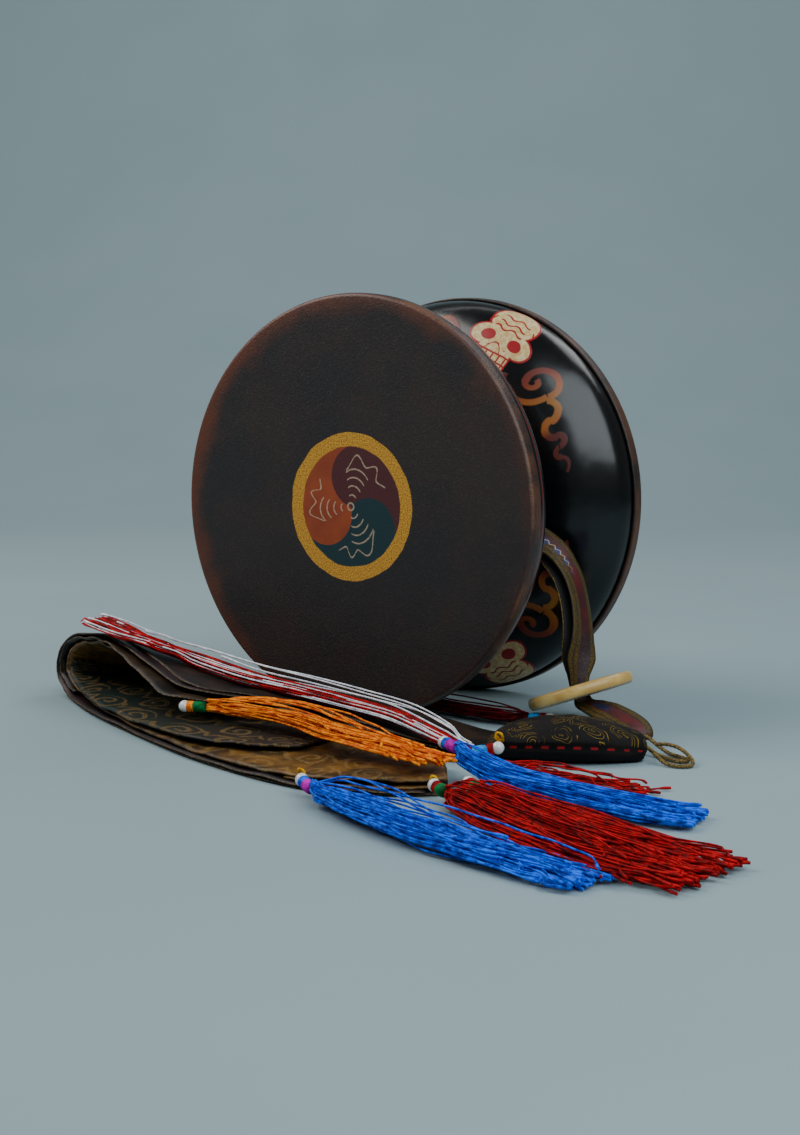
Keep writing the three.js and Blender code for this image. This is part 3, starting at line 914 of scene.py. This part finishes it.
def lofted(rings, segments, place):
    """A closed tube of rings; place gives each corner from its ring number and its angle."""
    body = bmesh.new()
    bmesh.ops.create_circle(body, cap_ends=False, segments=segments, radius=1)
    edges = body.edges[:]
    for _ in range(rings - 1):
        grown = bmesh.ops.extrude_edge_only(body, edges=edges)["geom"]
        corners = [part for part in grown if isinstance(part, bmesh.types.BMVert)]
        bmesh.ops.translate(body, verts=corners, vec=(0, 0, 1))
        edges = [part for part in grown if isinstance(part, bmesh.types.BMEdge) and part.is_boundary]
    bmesh.ops.holes_fill(body, edges=[edge for edge in body.edges if edge.is_boundary], sides=0)
    for corner in body.verts:
        corner.co = at(*place(round(corner.co.z), math.atan2(corner.co.y, corner.co.x)))
    bmesh.ops.recalc_face_normals(body, faces=body.faces)
    return body


def tongue_finish():
    finish = Finish("embroidered_black_cloth", Roughness=0.75, Specular_IOR_Level=0.2)
    place = finish.place(MIDDLE)
    patch = finish.noise(place, 0.04, 3)
    weave = finish.noise(place, 1.6, 2, 0.6)
    color = finish.mix(patch.rise(0.35, 0.7), shade(5, 3, 3), shade(20, 13, 12))
    color = finish.tint(color, weave * 0.8 + 0.6)
    along = finish.attribute("along")
    up = finish.attribute("up")
    bent = finish.shift(place, finish.noise(place, 0.06, 1, output="Color"), 10)
    bent_x, bent_y, _ = bent.split()
    figure = curls(bent_x, bent_y * 1.4, 30)
    fine = (figure - 0.5).within(0.3, 0.15)
    gold = fine * finish.noise(place, 0.06, 2).rise(0.44, 0.5) * up.rise(0.55, 0.65)
    color = finish.mix(gold * 0.9, color, shade(150, 120, 30))
    dash = ((along * 11).fraction() - 0.5).within(0.2, 0.06) * (up - 0.47).within(0.028, 0.015)
    color = finish.mix(dash, color, shade(150, 18, 26))
    height = weave * 0.6 + gold * 1.5 + finish.noise(place, 0.14, 2) * 1.5
    return finish.wear(color, height, 0.5, 0.7)


def add_tongue():
    line = smooth_line(TONGUE_LINE)
    rings, segments = 46, 48

    def place(ring, angle):
        share = ring / (rings - 1)
        end = min(share / 0.07, (1 - share) / 0.06, 1)
        swell = math.sqrt(max(1 - (1 - end) ** 2, 0)) * 0.75 + 0.25
        spot = line(share)
        along = tangent(line, share)
        side = Vector((-along.y, along.x, 0))
        wide, high = read(TONGUE_HALF_WIDTHS, share), read(TONGUE_HEIGHTS, share)
        across = math.copysign(abs(math.cos(angle)) ** 0.62, math.cos(angle))
        up = math.copysign(abs(math.sin(angle)) ** 0.75, math.sin(angle))
        crown = 1 - 0.3 * across ** 2 * (up > 0)
        pinch = 0.94 if abs(up) < 0.12 else 1
        dent = 0.7 * noise.noise(Vector((share * 9, across * 2, 4)))
        z = 0.5 * high * (1 + up * crown * swell) + dent * (up > 0.2)
        return spot + side * across * wide * (0.35 + 0.65 * swell) * pinch + Vector((0, 0, max(z, 0.5)))

    body = lofted(rings, segments, place)
    piece = settle("tail_tongue", body, [tongue_finish()], "tail_head")
    along, up = [], []
    for corner in piece.data.vertices:
        spot = (corner.co - MIDDLE) / MM
        share = min(range(101), key=lambda k: (line(k / 100).xy - spot.xy).length) / 100
        along.append(share)
        up.append(spot.z / read(TONGUE_HEIGHTS, share))
    add_attribute(piece, "along", along)
    add_attribute(piece, "up", up)


add_tongue()


# ---------------------------------------------------------------- strap, belt and disc

STRAP_WIDTH = 23
STRAP_LENGTH = 320
# Stations of the strap, from the belt to its folded end: x, y, z, its turn and its lean in radians, and its width.
STRAP = [
    (44.8, 0, 149, 0, 0.1, 23), (60, -0.5, 147, 0, 0.3, 23), (86, -2, 138, 0, 0.5, 23), (108, -2, 128, 0, 0.5, 23),
    (122.5, -2, 119.6, 0, 0.4, 23), (131.8, -3, 110.6, 0, 0.2, 23), (138.8, -4, 100, 0, 0.1, 23),
    (144, -5, 85, 0, 0, 23), (148, -8, 70, 0.05, 0, 23), (150, -11, 58, 0.2, 0, 23), (151, -14, 46, 0.6, 0, 22),
    (151.4, -16, 35, 0.8, 0, 14), (152.4, -17, 25, 1, 0, 11), (156, -19, 18.5, 1, -0.1, 12),
    (167, -29, 17.5, 0.6, 0.15, 20), (185, -41, 17, 0.6, 0.25, 23), (205, -52, 14.5, 0.6, 0.25, 23),
    (218, -60.5, 12, 0.6, 0.2, 22), (224, -65, 8.6, 0.6, 0.1, 19), (217, -61, 5.2, 0.6, 0, 20),
    (200, -51, 5.2, 0.6, 0, 21), (182, -41, 6, 0.6, 0, 20),
]
DISC_PLACE = (153, -17, 24.5)
DISC_LEAN = math.radians(20)
DISC_RADIUS = 37.5
DISC_HOLE = 10
DISC_HALF = 4.5


def ribbon_point(last, lift, spread):
    """The strap's shape up to one of its stations; lift sets a ply off its middle, spread opens its front edge."""
    line = smooth_line([station[:3] for station in STRAP])
    turns, leans, widths = ([station[k] for station in STRAP] for k in (3, 4, 5))
    end = last / (len(STRAP) - 1)

    def point(s, t):
        share = s * end
        along = tangent(line, share)
        turn = read(turns, share)
        wide = Vector((math.sin(turn), math.cos(turn), read(leans, share)))
        wide = (wide - along * wide.dot(along)).normalized()
        thick = along.cross(wide)
        cup = 0.5 * (1 - (2 * t - 1) ** 2)
        gap = lift + cup * math.copysign(1, lift) - read(spread, s) * (1 - t) ** 1.5
        return line(share) + wide * (t - 0.5) * read(widths, share) + thick * gap

    return point


def strap_finish():
    finish = Finish("strap_brocade", Roughness=0.5)
    along, across = finish.chart(STRAP_LENGTH, STRAP_WIDTH)
    chain = joined(
        (across - middle).within(half, 0.15) * (
            ((along * 0.75 + abs(across - middle) * 0.42).fraction() - 0.5).within(0.3, 0.1) * 0.72 + 0.28
        )
        for middle, half in ((2.1, 1.9), (6.6, 1.7), (20.6, 2.1))
    )
    place = finish.place(MIDDLE)
    fleck = finish.noise(place, 1.2, 2, 0.7)
    red = finish.mix(finish.noise(place, 0.06, 2).rise(0.4, 0.6), shade(92, 8, 14), shade(64, 8, 12))
    blocks = ((along * 0.085).fraction() - 0.45).within(0.28, 0.04) * (across - 11.2).within(2.6, 0.3)
    upper = along.rise(92, 70)
    centre = finish.mix(blocks * upper, red, shade(28, 46, 104))
    zigzag = (abs((along * 0.17).fraction() - 0.5) * 5 + 10.5 - across).within(0.5, 0.2)
    centre = finish.mix(zigzag * upper * 0.8, centre, shade(196, 180, 128))
    low = along.rise(118, 134) * along.rise(190, 176)
    scribble = (finish.noise(place, 0.35, 2, 0.6) - 0.5).within(0.02, 0.02)
    purple = finish.mix(scribble * 0.35, shade(38, 5, 20), shade(120, 90, 70))
    centre = finish.mix(low, centre, purple)
    flower = along.rise(214, 222) * along.rise(236, 228) * (across - 13).within(3.5, 0.6)
    centre = finish.mix(flower, centre, shade(20, 34, 66))
    gold = finish.mix(fleck.rise(0.35, 0.65), shade(30, 22, 2), shade(140, 108, 26))
    color = finish.mix(chain, finish.mix((across - 13).within(4.6, 0.3), shade(28, 22, 12), centre), gold)
    color = finish.tint(color, finish.noise(place, 2.0, 2) * 0.6 + 0.5)
    height = chain + fleck * 0.3
    return finish.wear(color, height, 0.5, 0.8, Metallic=chain.rise(0.5, 0.9) * 0.45)


def bone_finish():
    finish = Finish("old_bone", Coat_Weight=0.35, Coat_Roughness=0.25)
    place = finish.place(at(*DISC_PLACE))
    x, _, z = place.split()
    broad = finish.noise(place, 0.05, 3)
    grain = finish.noise(finish.vectors("MULTIPLY", place, (0.25, 1.2, 1.6)), 0.5, 3, 0.6)
    color = finish.mix(broad.rise(0.35, 0.65), shade(222, 188, 110), shade(196, 156, 82))
    color = finish.mix(grain.rise(0.5, 0.75) * 0.4, color, shade(168, 134, 78))
    edge = (x * -1 + z * -1.6 + broad * 22).rise(34, 56)
    color = finish.mix(edge * 0.75, color, shade(112, 72, 34))
    under = (z - x * math.tan(DISC_LEAN) + 3.6).rise(0.6, -0.6)
    pores = finish.noise(place, 0.6, 3, 0.7).rise(0.5, 0.62)
    color = finish.mix(under * 0.8, color, finish.mix(pores, shade(176, 166, 142), shade(128, 114, 92)))
    rough = 0.3 + grain * 0.16 + under * 0.3
    return finish.wear(color, grain + pores * under, 0.2, 0.5, Roughness=rough)


def add_strap():
    outer = ribbon_point(len(STRAP) - 1, 1.1, [0, 0])
    add_cloth("strap_brocade_ply", outer, 1.5, (150, 10), strap_finish(), "strap")
    lining = ribbon_point(12, -0.9, [0, 2, 4.5, 6, 6.5, 6.5, 6, 5, 2.5])
    weave = mottled(
        "black_lining_weave", shade(8, 7, 8), shade(26, 22, 22), (0.35, 0.65), (1.8, 2, 0.6), (1.8, 2, 0.6), 0.3, 0.7,
        Roughness=0.8,
    )
    add_cloth("strap_black_ply", lining, 1.3, (90, 8), weave,
              hem=(gold_cord, 1.2))


def add_belt():
    finish = Finish("belt_brocade", Roughness=0.6)
    place = finish.place(at(0, 0, AXIS))
    x, y, z = place.split()
    run = z.angle(x) * (WAIST_RADIUS + BELT_THICKNESS)
    chain = (abs(y) - 8.6).within(2.4, 0.2)
    stitch = ((run * 0.7 + abs(abs(y) - 8.6) * 0.4).fraction() - 0.5).within(0.3, 0.1)
    blocks = ((run * 0.1).fraction() - 0.5).within(0.3, 0.05) * abs(y).rise(3, 2.4)
    color = finish.mix(blocks, shade(104, 20, 26), shade(26, 42, 92))
    color = finish.mix(chain * (stitch * 0.7 + 0.3), color, shade(168, 136, 58))
    material = finish.wear(color, chain * stitch, 0.5, 0.7)
    inner, outer, half = WAIST_RADIUS + GAP, WAIST_RADIUS + GAP + BELT_THICKNESS, BELT_HALF
    edge = [
        (inner, half - 0.6), (inner + 0.7, half), (outer - 1.6, half), (outer - 0.3, half - 1.6), (outer, half - 4),
    ]
    section = mirrored(edge) + [(outer - 0.5, 0)] + edge[::-1]
    piece = settle("waist_belt_band", spun(section, 72), [material], "waist_belt")


def add_disc():
    soft = 2.8
    section = [(DISC_HOLE, -DISC_HALF + 1), (DISC_HOLE + 1, -DISC_HALF), (24, -DISC_HALF - 0.2)]
    for step in range(9):
        turn = -math.pi / 2 + math.pi * step / 8
        section.append((DISC_RADIUS - soft + soft * math.cos(turn), (DISC_HALF - 0.2) * math.sin(turn)))
    section += [(24, DISC_HALF + 0.1), (DISC_HOLE + 1, DISC_HALF), (DISC_HOLE, DISC_HALF - 1)]
    body = bmesh.new()
    corners = [body.verts.new(Vector((radius, 0, z)) * MM) for radius, z in section]
    edges = [body.edges.new(pair) for pair in zip(corners, corners[1:] + corners[:1])]
    bmesh.ops.spin(body, geom=corners + edges, cent=(0, 0, 0), axis=(0, 0, 1), dvec=(0, 0, 0),
                   angle=math.tau, steps=96, use_merge=True)
    bmesh.ops.recalc_face_normals(body, faces=body.faces)
    stand = Matrix.Translation(at(*DISC_PLACE)) @ Matrix.Rotation(-DISC_LEAN, 4, "Y")
    bmesh.ops.transform(body, matrix=stand, verts=body.verts)
    settle("bone_disc_turned", body, [bone_finish()], "bone_disc")


add_disc()
add_belt()
add_strap()


# ---------------------------------------------------------------- tassels

THREADS = {
    name: mottled(
        material, shade(*deep), shade(*bright), (0.34, 0.66), (0.16, 3, 0.6), (2.4, 1), 0.2, 0.6,
        Roughness=0.6, Specular_IOR_Level=0.15,
    )
    for name, material, deep, bright in (
        ("red", "red_thread", (96, 0, 3), (186, 0, 12)),
        ("white", "white_thread", (190, 196, 204), (238, 240, 244)),
        ("orange", "orange_thread", (190, 66, 0), (255, 148, 4)),
        ("blue", "blue_thread", (0, 40, 150), (8, 112, 255)),
        ("dark_red", "dark_red_thread", (40, 0, 4), (96, 2, 10)),
        ("sky", "sky_blue_wrap", (0, 96, 160), (30, 160, 220)),
        ("green", "green_wrap", (0, 66, 28), (0, 124, 62)),
        ("magenta", "magenta_wrap", (126, 0, 120), (206, 8, 190)),
        ("yellow", "yellow_loop", (160, 104, 0), (230, 170, 6)),
    )
}


def pearl_finish():
    finish = Finish("pearl_bead", Coat_Weight=0.8, Coat_Roughness=0.08)
    place = finish.place(MIDDLE)
    vary = finish.noise(place, 0.25, 2)
    color = finish.mix(vary, shade(196, 202, 206), shade(232, 232, 226))
    return finish.wear(color, vary, 0.1, 0.3, Roughness=vary * 0.1 + 0.15)


PEARL = pearl_finish()
BEAD_RADIUS = 4
THREAD_THICKNESS = 1.2

# How wide and how high a bundle of threads is along its length, as shares of its half width and height.
WIDTH_SHARES = [0.22, 0.5, 0.78, 0.94, 1, 1, 0.96]
HEIGHT_SHARES = [1, 1.1, 1.1, 1, 0.9, 0.8, 0.6]

# A tassel has half its bundle's width and height, its count of threads, how many of them stray, how much they waver,
# the places of its bead and wound neck, and the path of its threads.
TASSELS = [
    dict(
        name="long", threads="red", wrap_color="sky", count=76, waver=0.4,
        bead=[178.5, -165.5, 12], wrap=[169, -170.5, 9.6], half=(11, 4), stray=5,
        path=[[163, -171, 9.4], [150, -170.5, 11], [137, -168, 14.4], [94, -152, 20], [55, -152, 25],
              [14, -154, 30.4], [-31, -152, 34.4], [-83, -145, 41], [-107, -158, 50.6], [-128, -168, 58.4],
              [-160, -160, 63], [-178, -154, 64]],
    ),
    dict(
        name="orange", threads="orange", wrap_color="green", count=80, waver=1,
        bead=[-35, -217, 24], wrap=[-25.6, -213.2, 23.8], half=(12, 4), stray=10,
        path=[[-20, -211, 23.6], [8, -206, 23.4], [52, -208, 22.8], [107, -228, 22], [153, -238, 20.4],
              [190, -248, 18.6]],
    ),
    dict(
        name="blue_front", threads="blue", wrap_color="magenta", count=96, waver=1,
        bead=[126, -298, 9], wrap=[135, -303, 7], half=(15, 4.8), stray=12,
        path=[[140.4, -306, 6.4], [163, -318, 6.6], [209, -337, 6.4], [260, -354, 5.8], [304, -365, 5.2],
              [340, -373, 4.4], [367, -382, 3.8]],
    ),
    dict(
        name="red_left", threads="red", wrap_color="green", count=90, waver=1,
        bead=[198, -266, 9], wrap=[207, -271, 8], half=(16, 5), stray=10,
        path=[[212.4, -274, 7.6], [228, -284, 7.2], [262, -304, 7], [305, -326, 6.6], [344, -340, 6],
              [380, -349, 5.2], [410, -352, 4.4]],
    ),
    dict(
        name="red_right", threads="red", wrap_color="green", count=80, waver=1,
        bead=[208, -245, 8], wrap=[217, -250.6, 7.4], half=(15, 4.6), stray=8,
        path=[[222.4, -254, 7], [236, -261, 7], [266, -274, 7], [308, -288, 6.6], [350, -305, 6], [386, -317, 5.2],
              [412, -321, 4.4]],
    ),
    dict(
        name="blue_side", threads="blue", wrap_color="magenta", count=100, waver=0.8,
        bead=[165, -206, 20.6], wrap=[174.4, -211, 20], half=(16, 4.6), stray=9,
        path=[[179.6, -213.6, 19.4], [194, -218.6, 14], [222, -223, 8], [260, -228, 6.4], [298, -235, 5.8],
              [330, -237, 4.8], [352, -233, 4]],
    ),
    dict(
        name="behind", threads="dark_red", wrap_color="sky", count=50, waver=0.6,
        bead=[143, -42, 8], wrap=[133.6, -43.6, 7.4], half=(12, 3.4), stray=4,
        path=[[128, -44.2, 7], [112, -43, 5.6], [90, -39, 5.2], [55, -31, 4.6], [15, -23, 4.4], [-25, -16, 4.2],
              [-65, -11, 4], [-100, -9, 3.6]],
    ),
    dict(
        name="under", threads="red", count=22, waver=1.4, half=(9, 2.4), stray=6,
        path=[[190, -177, 3.4], [215, -179, 3.8], [245, -181, 3.6], [275, -184, 3.2], [300, -183, 2.8]],
    ),
]


def across_of(along):
    return Vector((-along.y, along.x, 0)).normalized()


def thread_strand(draw, line, tassel, stray, lift_floor):
    """One hanging thread: where it runs, how thick it is along its length."""
    wide, high = tassel["half"]
    lane = max(-1, min(1, round(draw.uniform(-1, 1) * 5.5) / 5.5 + draw.gauss(0, 0.07)))
    cross = draw.gauss(0, 0.42) * tassel["waver"]
    cross_step, cross_phase = draw.uniform(5, 10), draw.uniform(0, math.tau)
    end_kick, end_step = draw.gauss(0, 7) * tassel["waver"], draw.uniform(9, 16)
    start_angle, start_radius = draw.uniform(0, math.tau), 2.2 * math.sqrt(draw.random())
    layer = draw.uniform(-0.9, 0.95) * math.sqrt(max(1 - lane * lane, 0.08))
    reach = 1 - 0.2 * draw.random() ** 1.6 if not stray else draw.uniform(0.55, 1.0)
    wander, phase = draw.uniform(0.4, 1.2) * tassel["waver"], draw.uniform(0, math.tau)
    pull = draw.gauss(0, 0.35 * tassel["waver"]) if not stray else draw.choice((-1, 1)) * draw.uniform(0.5, 1.1)
    steps = 36
    strand = []
    for k in range(steps + 1):
        share = k / steps * reach
        along = tangent(line, share)
        side = across_of(along)
        open_share = min(share / 0.12, 1)
        wave = wander * (1.5 * math.sin(share * 15 + phase) + 0.7 * math.sin(share * 41 + phase * 2.3))
        drift = pull * max(share - 0.35, 0) ** 2 * 9
        if stray:
            drift = pull * math.sin(min(share / reach, 1) * math.pi * 1.1) * 9
        crossing = cross * math.sin(share * cross_step + cross_phase) * wide
        lateral = max(-1.15, min(1.15, lane + crossing / wide)) * wide
        sideways = (lateral * read(WIDTH_SHARES, share) + drift) * open_share
        sideways += end_kick * max(share / reach - 0.8, 0) * 5 * math.sin(share * end_step + phase)
        sideways += start_radius * math.cos(start_angle) * (1 - open_share) + wave * open_share
        upward = layer * high * read(HEIGHT_SHARES, share) * open_share
        upward += start_radius * math.sin(start_angle) * (1 - open_share)
        if stray:
            upward += high * 0.9 + 2.5 * math.sin(min(share / reach, 1) * math.pi)
        spot = line(share) + side * sideways + Vector((0, 0, upward))
        strand.append(Vector((spot.x, spot.y, max(spot.z, lift_floor))))
    radii = [1] * (steps - 1) + [1.7, 1.5]
    return strand, radii, lane


def add_tassel(tassel):
    """A tassel with its threads, and its neck and bead where they are in sight."""
    draw = random.Random(sum(ord(letter) * (place + 1) for place, letter in enumerate(tassel["name"])))
    line = smooth_line(tassel["path"])
    color = THREADS[tassel["threads"]]
    strands = []
    for k in range(tassel["count"]):
        stray = k >= tassel["count"] - tassel["stray"]
        strand, radii, lane = thread_strand(draw, line, tassel, stray, THREAD_THICKNESS / 2 + 0.1)
        white = tassel["name"] == "long" and (k % 8 == 0 or abs(lane) > 0.95 or stray)
        strands.append((strand, radii, 1 if white else 0))
    materials = [color]
    node = "tassel_" + tassel["name"]
    if tassel["name"] == "long":
        materials.append(THREADS["white"])
    tubes(node + "_strands", strands, THREAD_THICKNESS, materials, node + "_threads")
    if "bead" not in tassel:
        return
    add_winding(node, tassel, line)
    add_bead(node, tassel)


def add_winding(node, tassel, line):
    """The thread wound round a tassel's neck, and the knot between it and the bead."""
    centre, bead, start = Vector(tassel["wrap"]), Vector(tassel["bead"]), line(0)
    along = (start - bead).normalized()
    side = across_of(along)
    over = along.cross(side)
    turns, length, radius, thread = 11, 9, 3.2, 1.0
    coil = []
    for k in range(turns * 12 + 1):
        share = k / (turns * 12)
        angle = math.tau * share * turns
        bulge = radius * (0.92 + 0.16 * math.sin(share * math.pi))
        around = side * math.cos(angle) + over * math.sin(angle)
        coil.append(centre + along * (share - 0.5) * length + around * bulge)
    core = [centre + along * (share - 0.5) * (length + 1) for share in (0, 0.5, 1)]
    tubes(node + "_winding", [(coil, [1] * len(coil), 0), (core, [2 * radius / thread * 0.96] * 3, 0)], thread,
          [THREADS[tassel["wrap_color"]]], node + "_wrap", rounds=2)
    knot = []
    draw = random.Random(len(node))
    middle = bead.lerp(centre, 0.42)
    for strand in range(5):
        loop = []
        tilt = draw.uniform(-0.5, 0.5)
        for k in range(17):
            angle = math.tau * k / 16
            wobble = along * (math.sin(angle) * tilt * 2 + (strand - 2) * 0.8)
            loop.append(middle + wobble + (side * math.cos(angle) + over * math.sin(angle)) * 3.1)
        knot.append((loop, [1] * len(loop), 0))
    tubes(node + "_knot", knot, 1.5, [THREADS["red" if tassel["threads"] == "dark_red" else tassel["threads"]]],
          rounds=1)


def add_bead(node, tassel):
    """The pearl that a tassel hangs from."""
    body = bmesh.new()
    bmesh.ops.create_uvsphere(body, u_segments=32, v_segments=20, radius=BEAD_RADIUS * MM)
    bmesh.ops.translate(body, verts=body.verts, vec=at(*tassel["bead"]))
    settle(node + "_pearl", body, [PEARL], node + "_bead")


for tassel in TASSELS:
    add_tassel(tassel)


def add_loops():
    """The small yellow loops that sew the beads to the tail."""
    loops = []
    for middle, reach in (([174, -157, 17], 4.5), ([124, -296, 12], 4.5), ([193, -259, 10], 4)):
        centre = Vector(middle)
        for turn in (0.0, 0.8):
            loop = []
            for k in range(13):
                angle = math.tau * k / 12
                around = Vector((math.cos(angle + turn), 0.4 * math.sin(turn * 3), math.sin(angle)))
                loop.append(centre + around * reach * 0.6)
            loops.append((loop, [1] * 13, 0))
    tubes("yellow_sewing_loops", loops, 1.4, [THREADS["yellow"]], rounds=1)


add_loops()


# ---------------------------------------------------------------- stage

# The paper backdrop, in metres.
STAGE_HALF = 4
BEND_START = 1.5
BEND_RADIUS = 1.4


def add_stage():
    """A plain floor that sweeps up into a backdrop behind the drum."""
    body = bmesh.new()
    bmesh.ops.create_grid(body, x_segments=2, y_segments=40, size=STAGE_HALF)
    centre = at(0, 0, 0)
    facing = Matrix.Rotation(CAMERA_AZIMUTH, 3, "Z")
    for corner in body.verts:
        run = corner.co.y + 1.0
        depth, height = run, 0
        if run > BEND_START:
            turn = min((run - BEND_START) / BEND_RADIUS, math.pi / 2)
            depth = BEND_START + BEND_RADIUS * math.sin(turn)
            height = BEND_RADIUS * (1 - math.cos(turn)) + max(run - BEND_START - BEND_RADIUS * math.pi / 2, 0)
        corner.co = centre + facing @ Vector((corner.co.x * 1.5, depth, 0)) + Vector((0, 0, height))
    mesh = bpy.data.meshes.new("backdrop")
    body.to_mesh(mesh)
    body.free()
    mesh.polygons.foreach_set("use_smooth", [True] * len(mesh.polygons))
    finish = Finish("backdrop_paper", Roughness=0.9, Specular_IOR_Level=0.1)
    place = finish.place(centre)
    tone = finish.noise(place, 0.004, 2)
    grain = finish.noise(place, 0.5, 2)
    color = finish.mix(tone, shade(136, 155, 160), shade(144, 162, 167))
    mesh.materials.append(finish.wear(color, grain, 0.1, 0.4))
    floor = bpy.data.objects.new("backdrop", mesh)
    bpy.context.scene.collection.objects.link(floor)


def add_world():
    world = bpy.data.worlds.new("studio")
    world.use_nodes = True
    sky = world.node_tree.nodes["Background"]
    sky.inputs[0].default_value = (0.75, 0.82, 0.85, 1)
    sky.inputs[1].default_value = 0.16
    bpy.context.scene.world = world


add_stage()
add_world()
add_light("right softbox", 64, 38, 1.5, (1.7, 1.15), 22, (0.86, 0.95, 1))
add_light("left key", -60, 44, 1.8, (1.2, 1.2), 24, (1, 0.98, 0.95))
add_light("top", 160, 52, 1.7, (0.8, 0.8), 6, (0.95, 0.98, 1))
add_light("wall", math.degrees(CAMERA_AZIMUTH), 35, 2.2, (3.4, 1.2), 34, (0.95, 0.98, 1), at(-1658, 2379, 900))
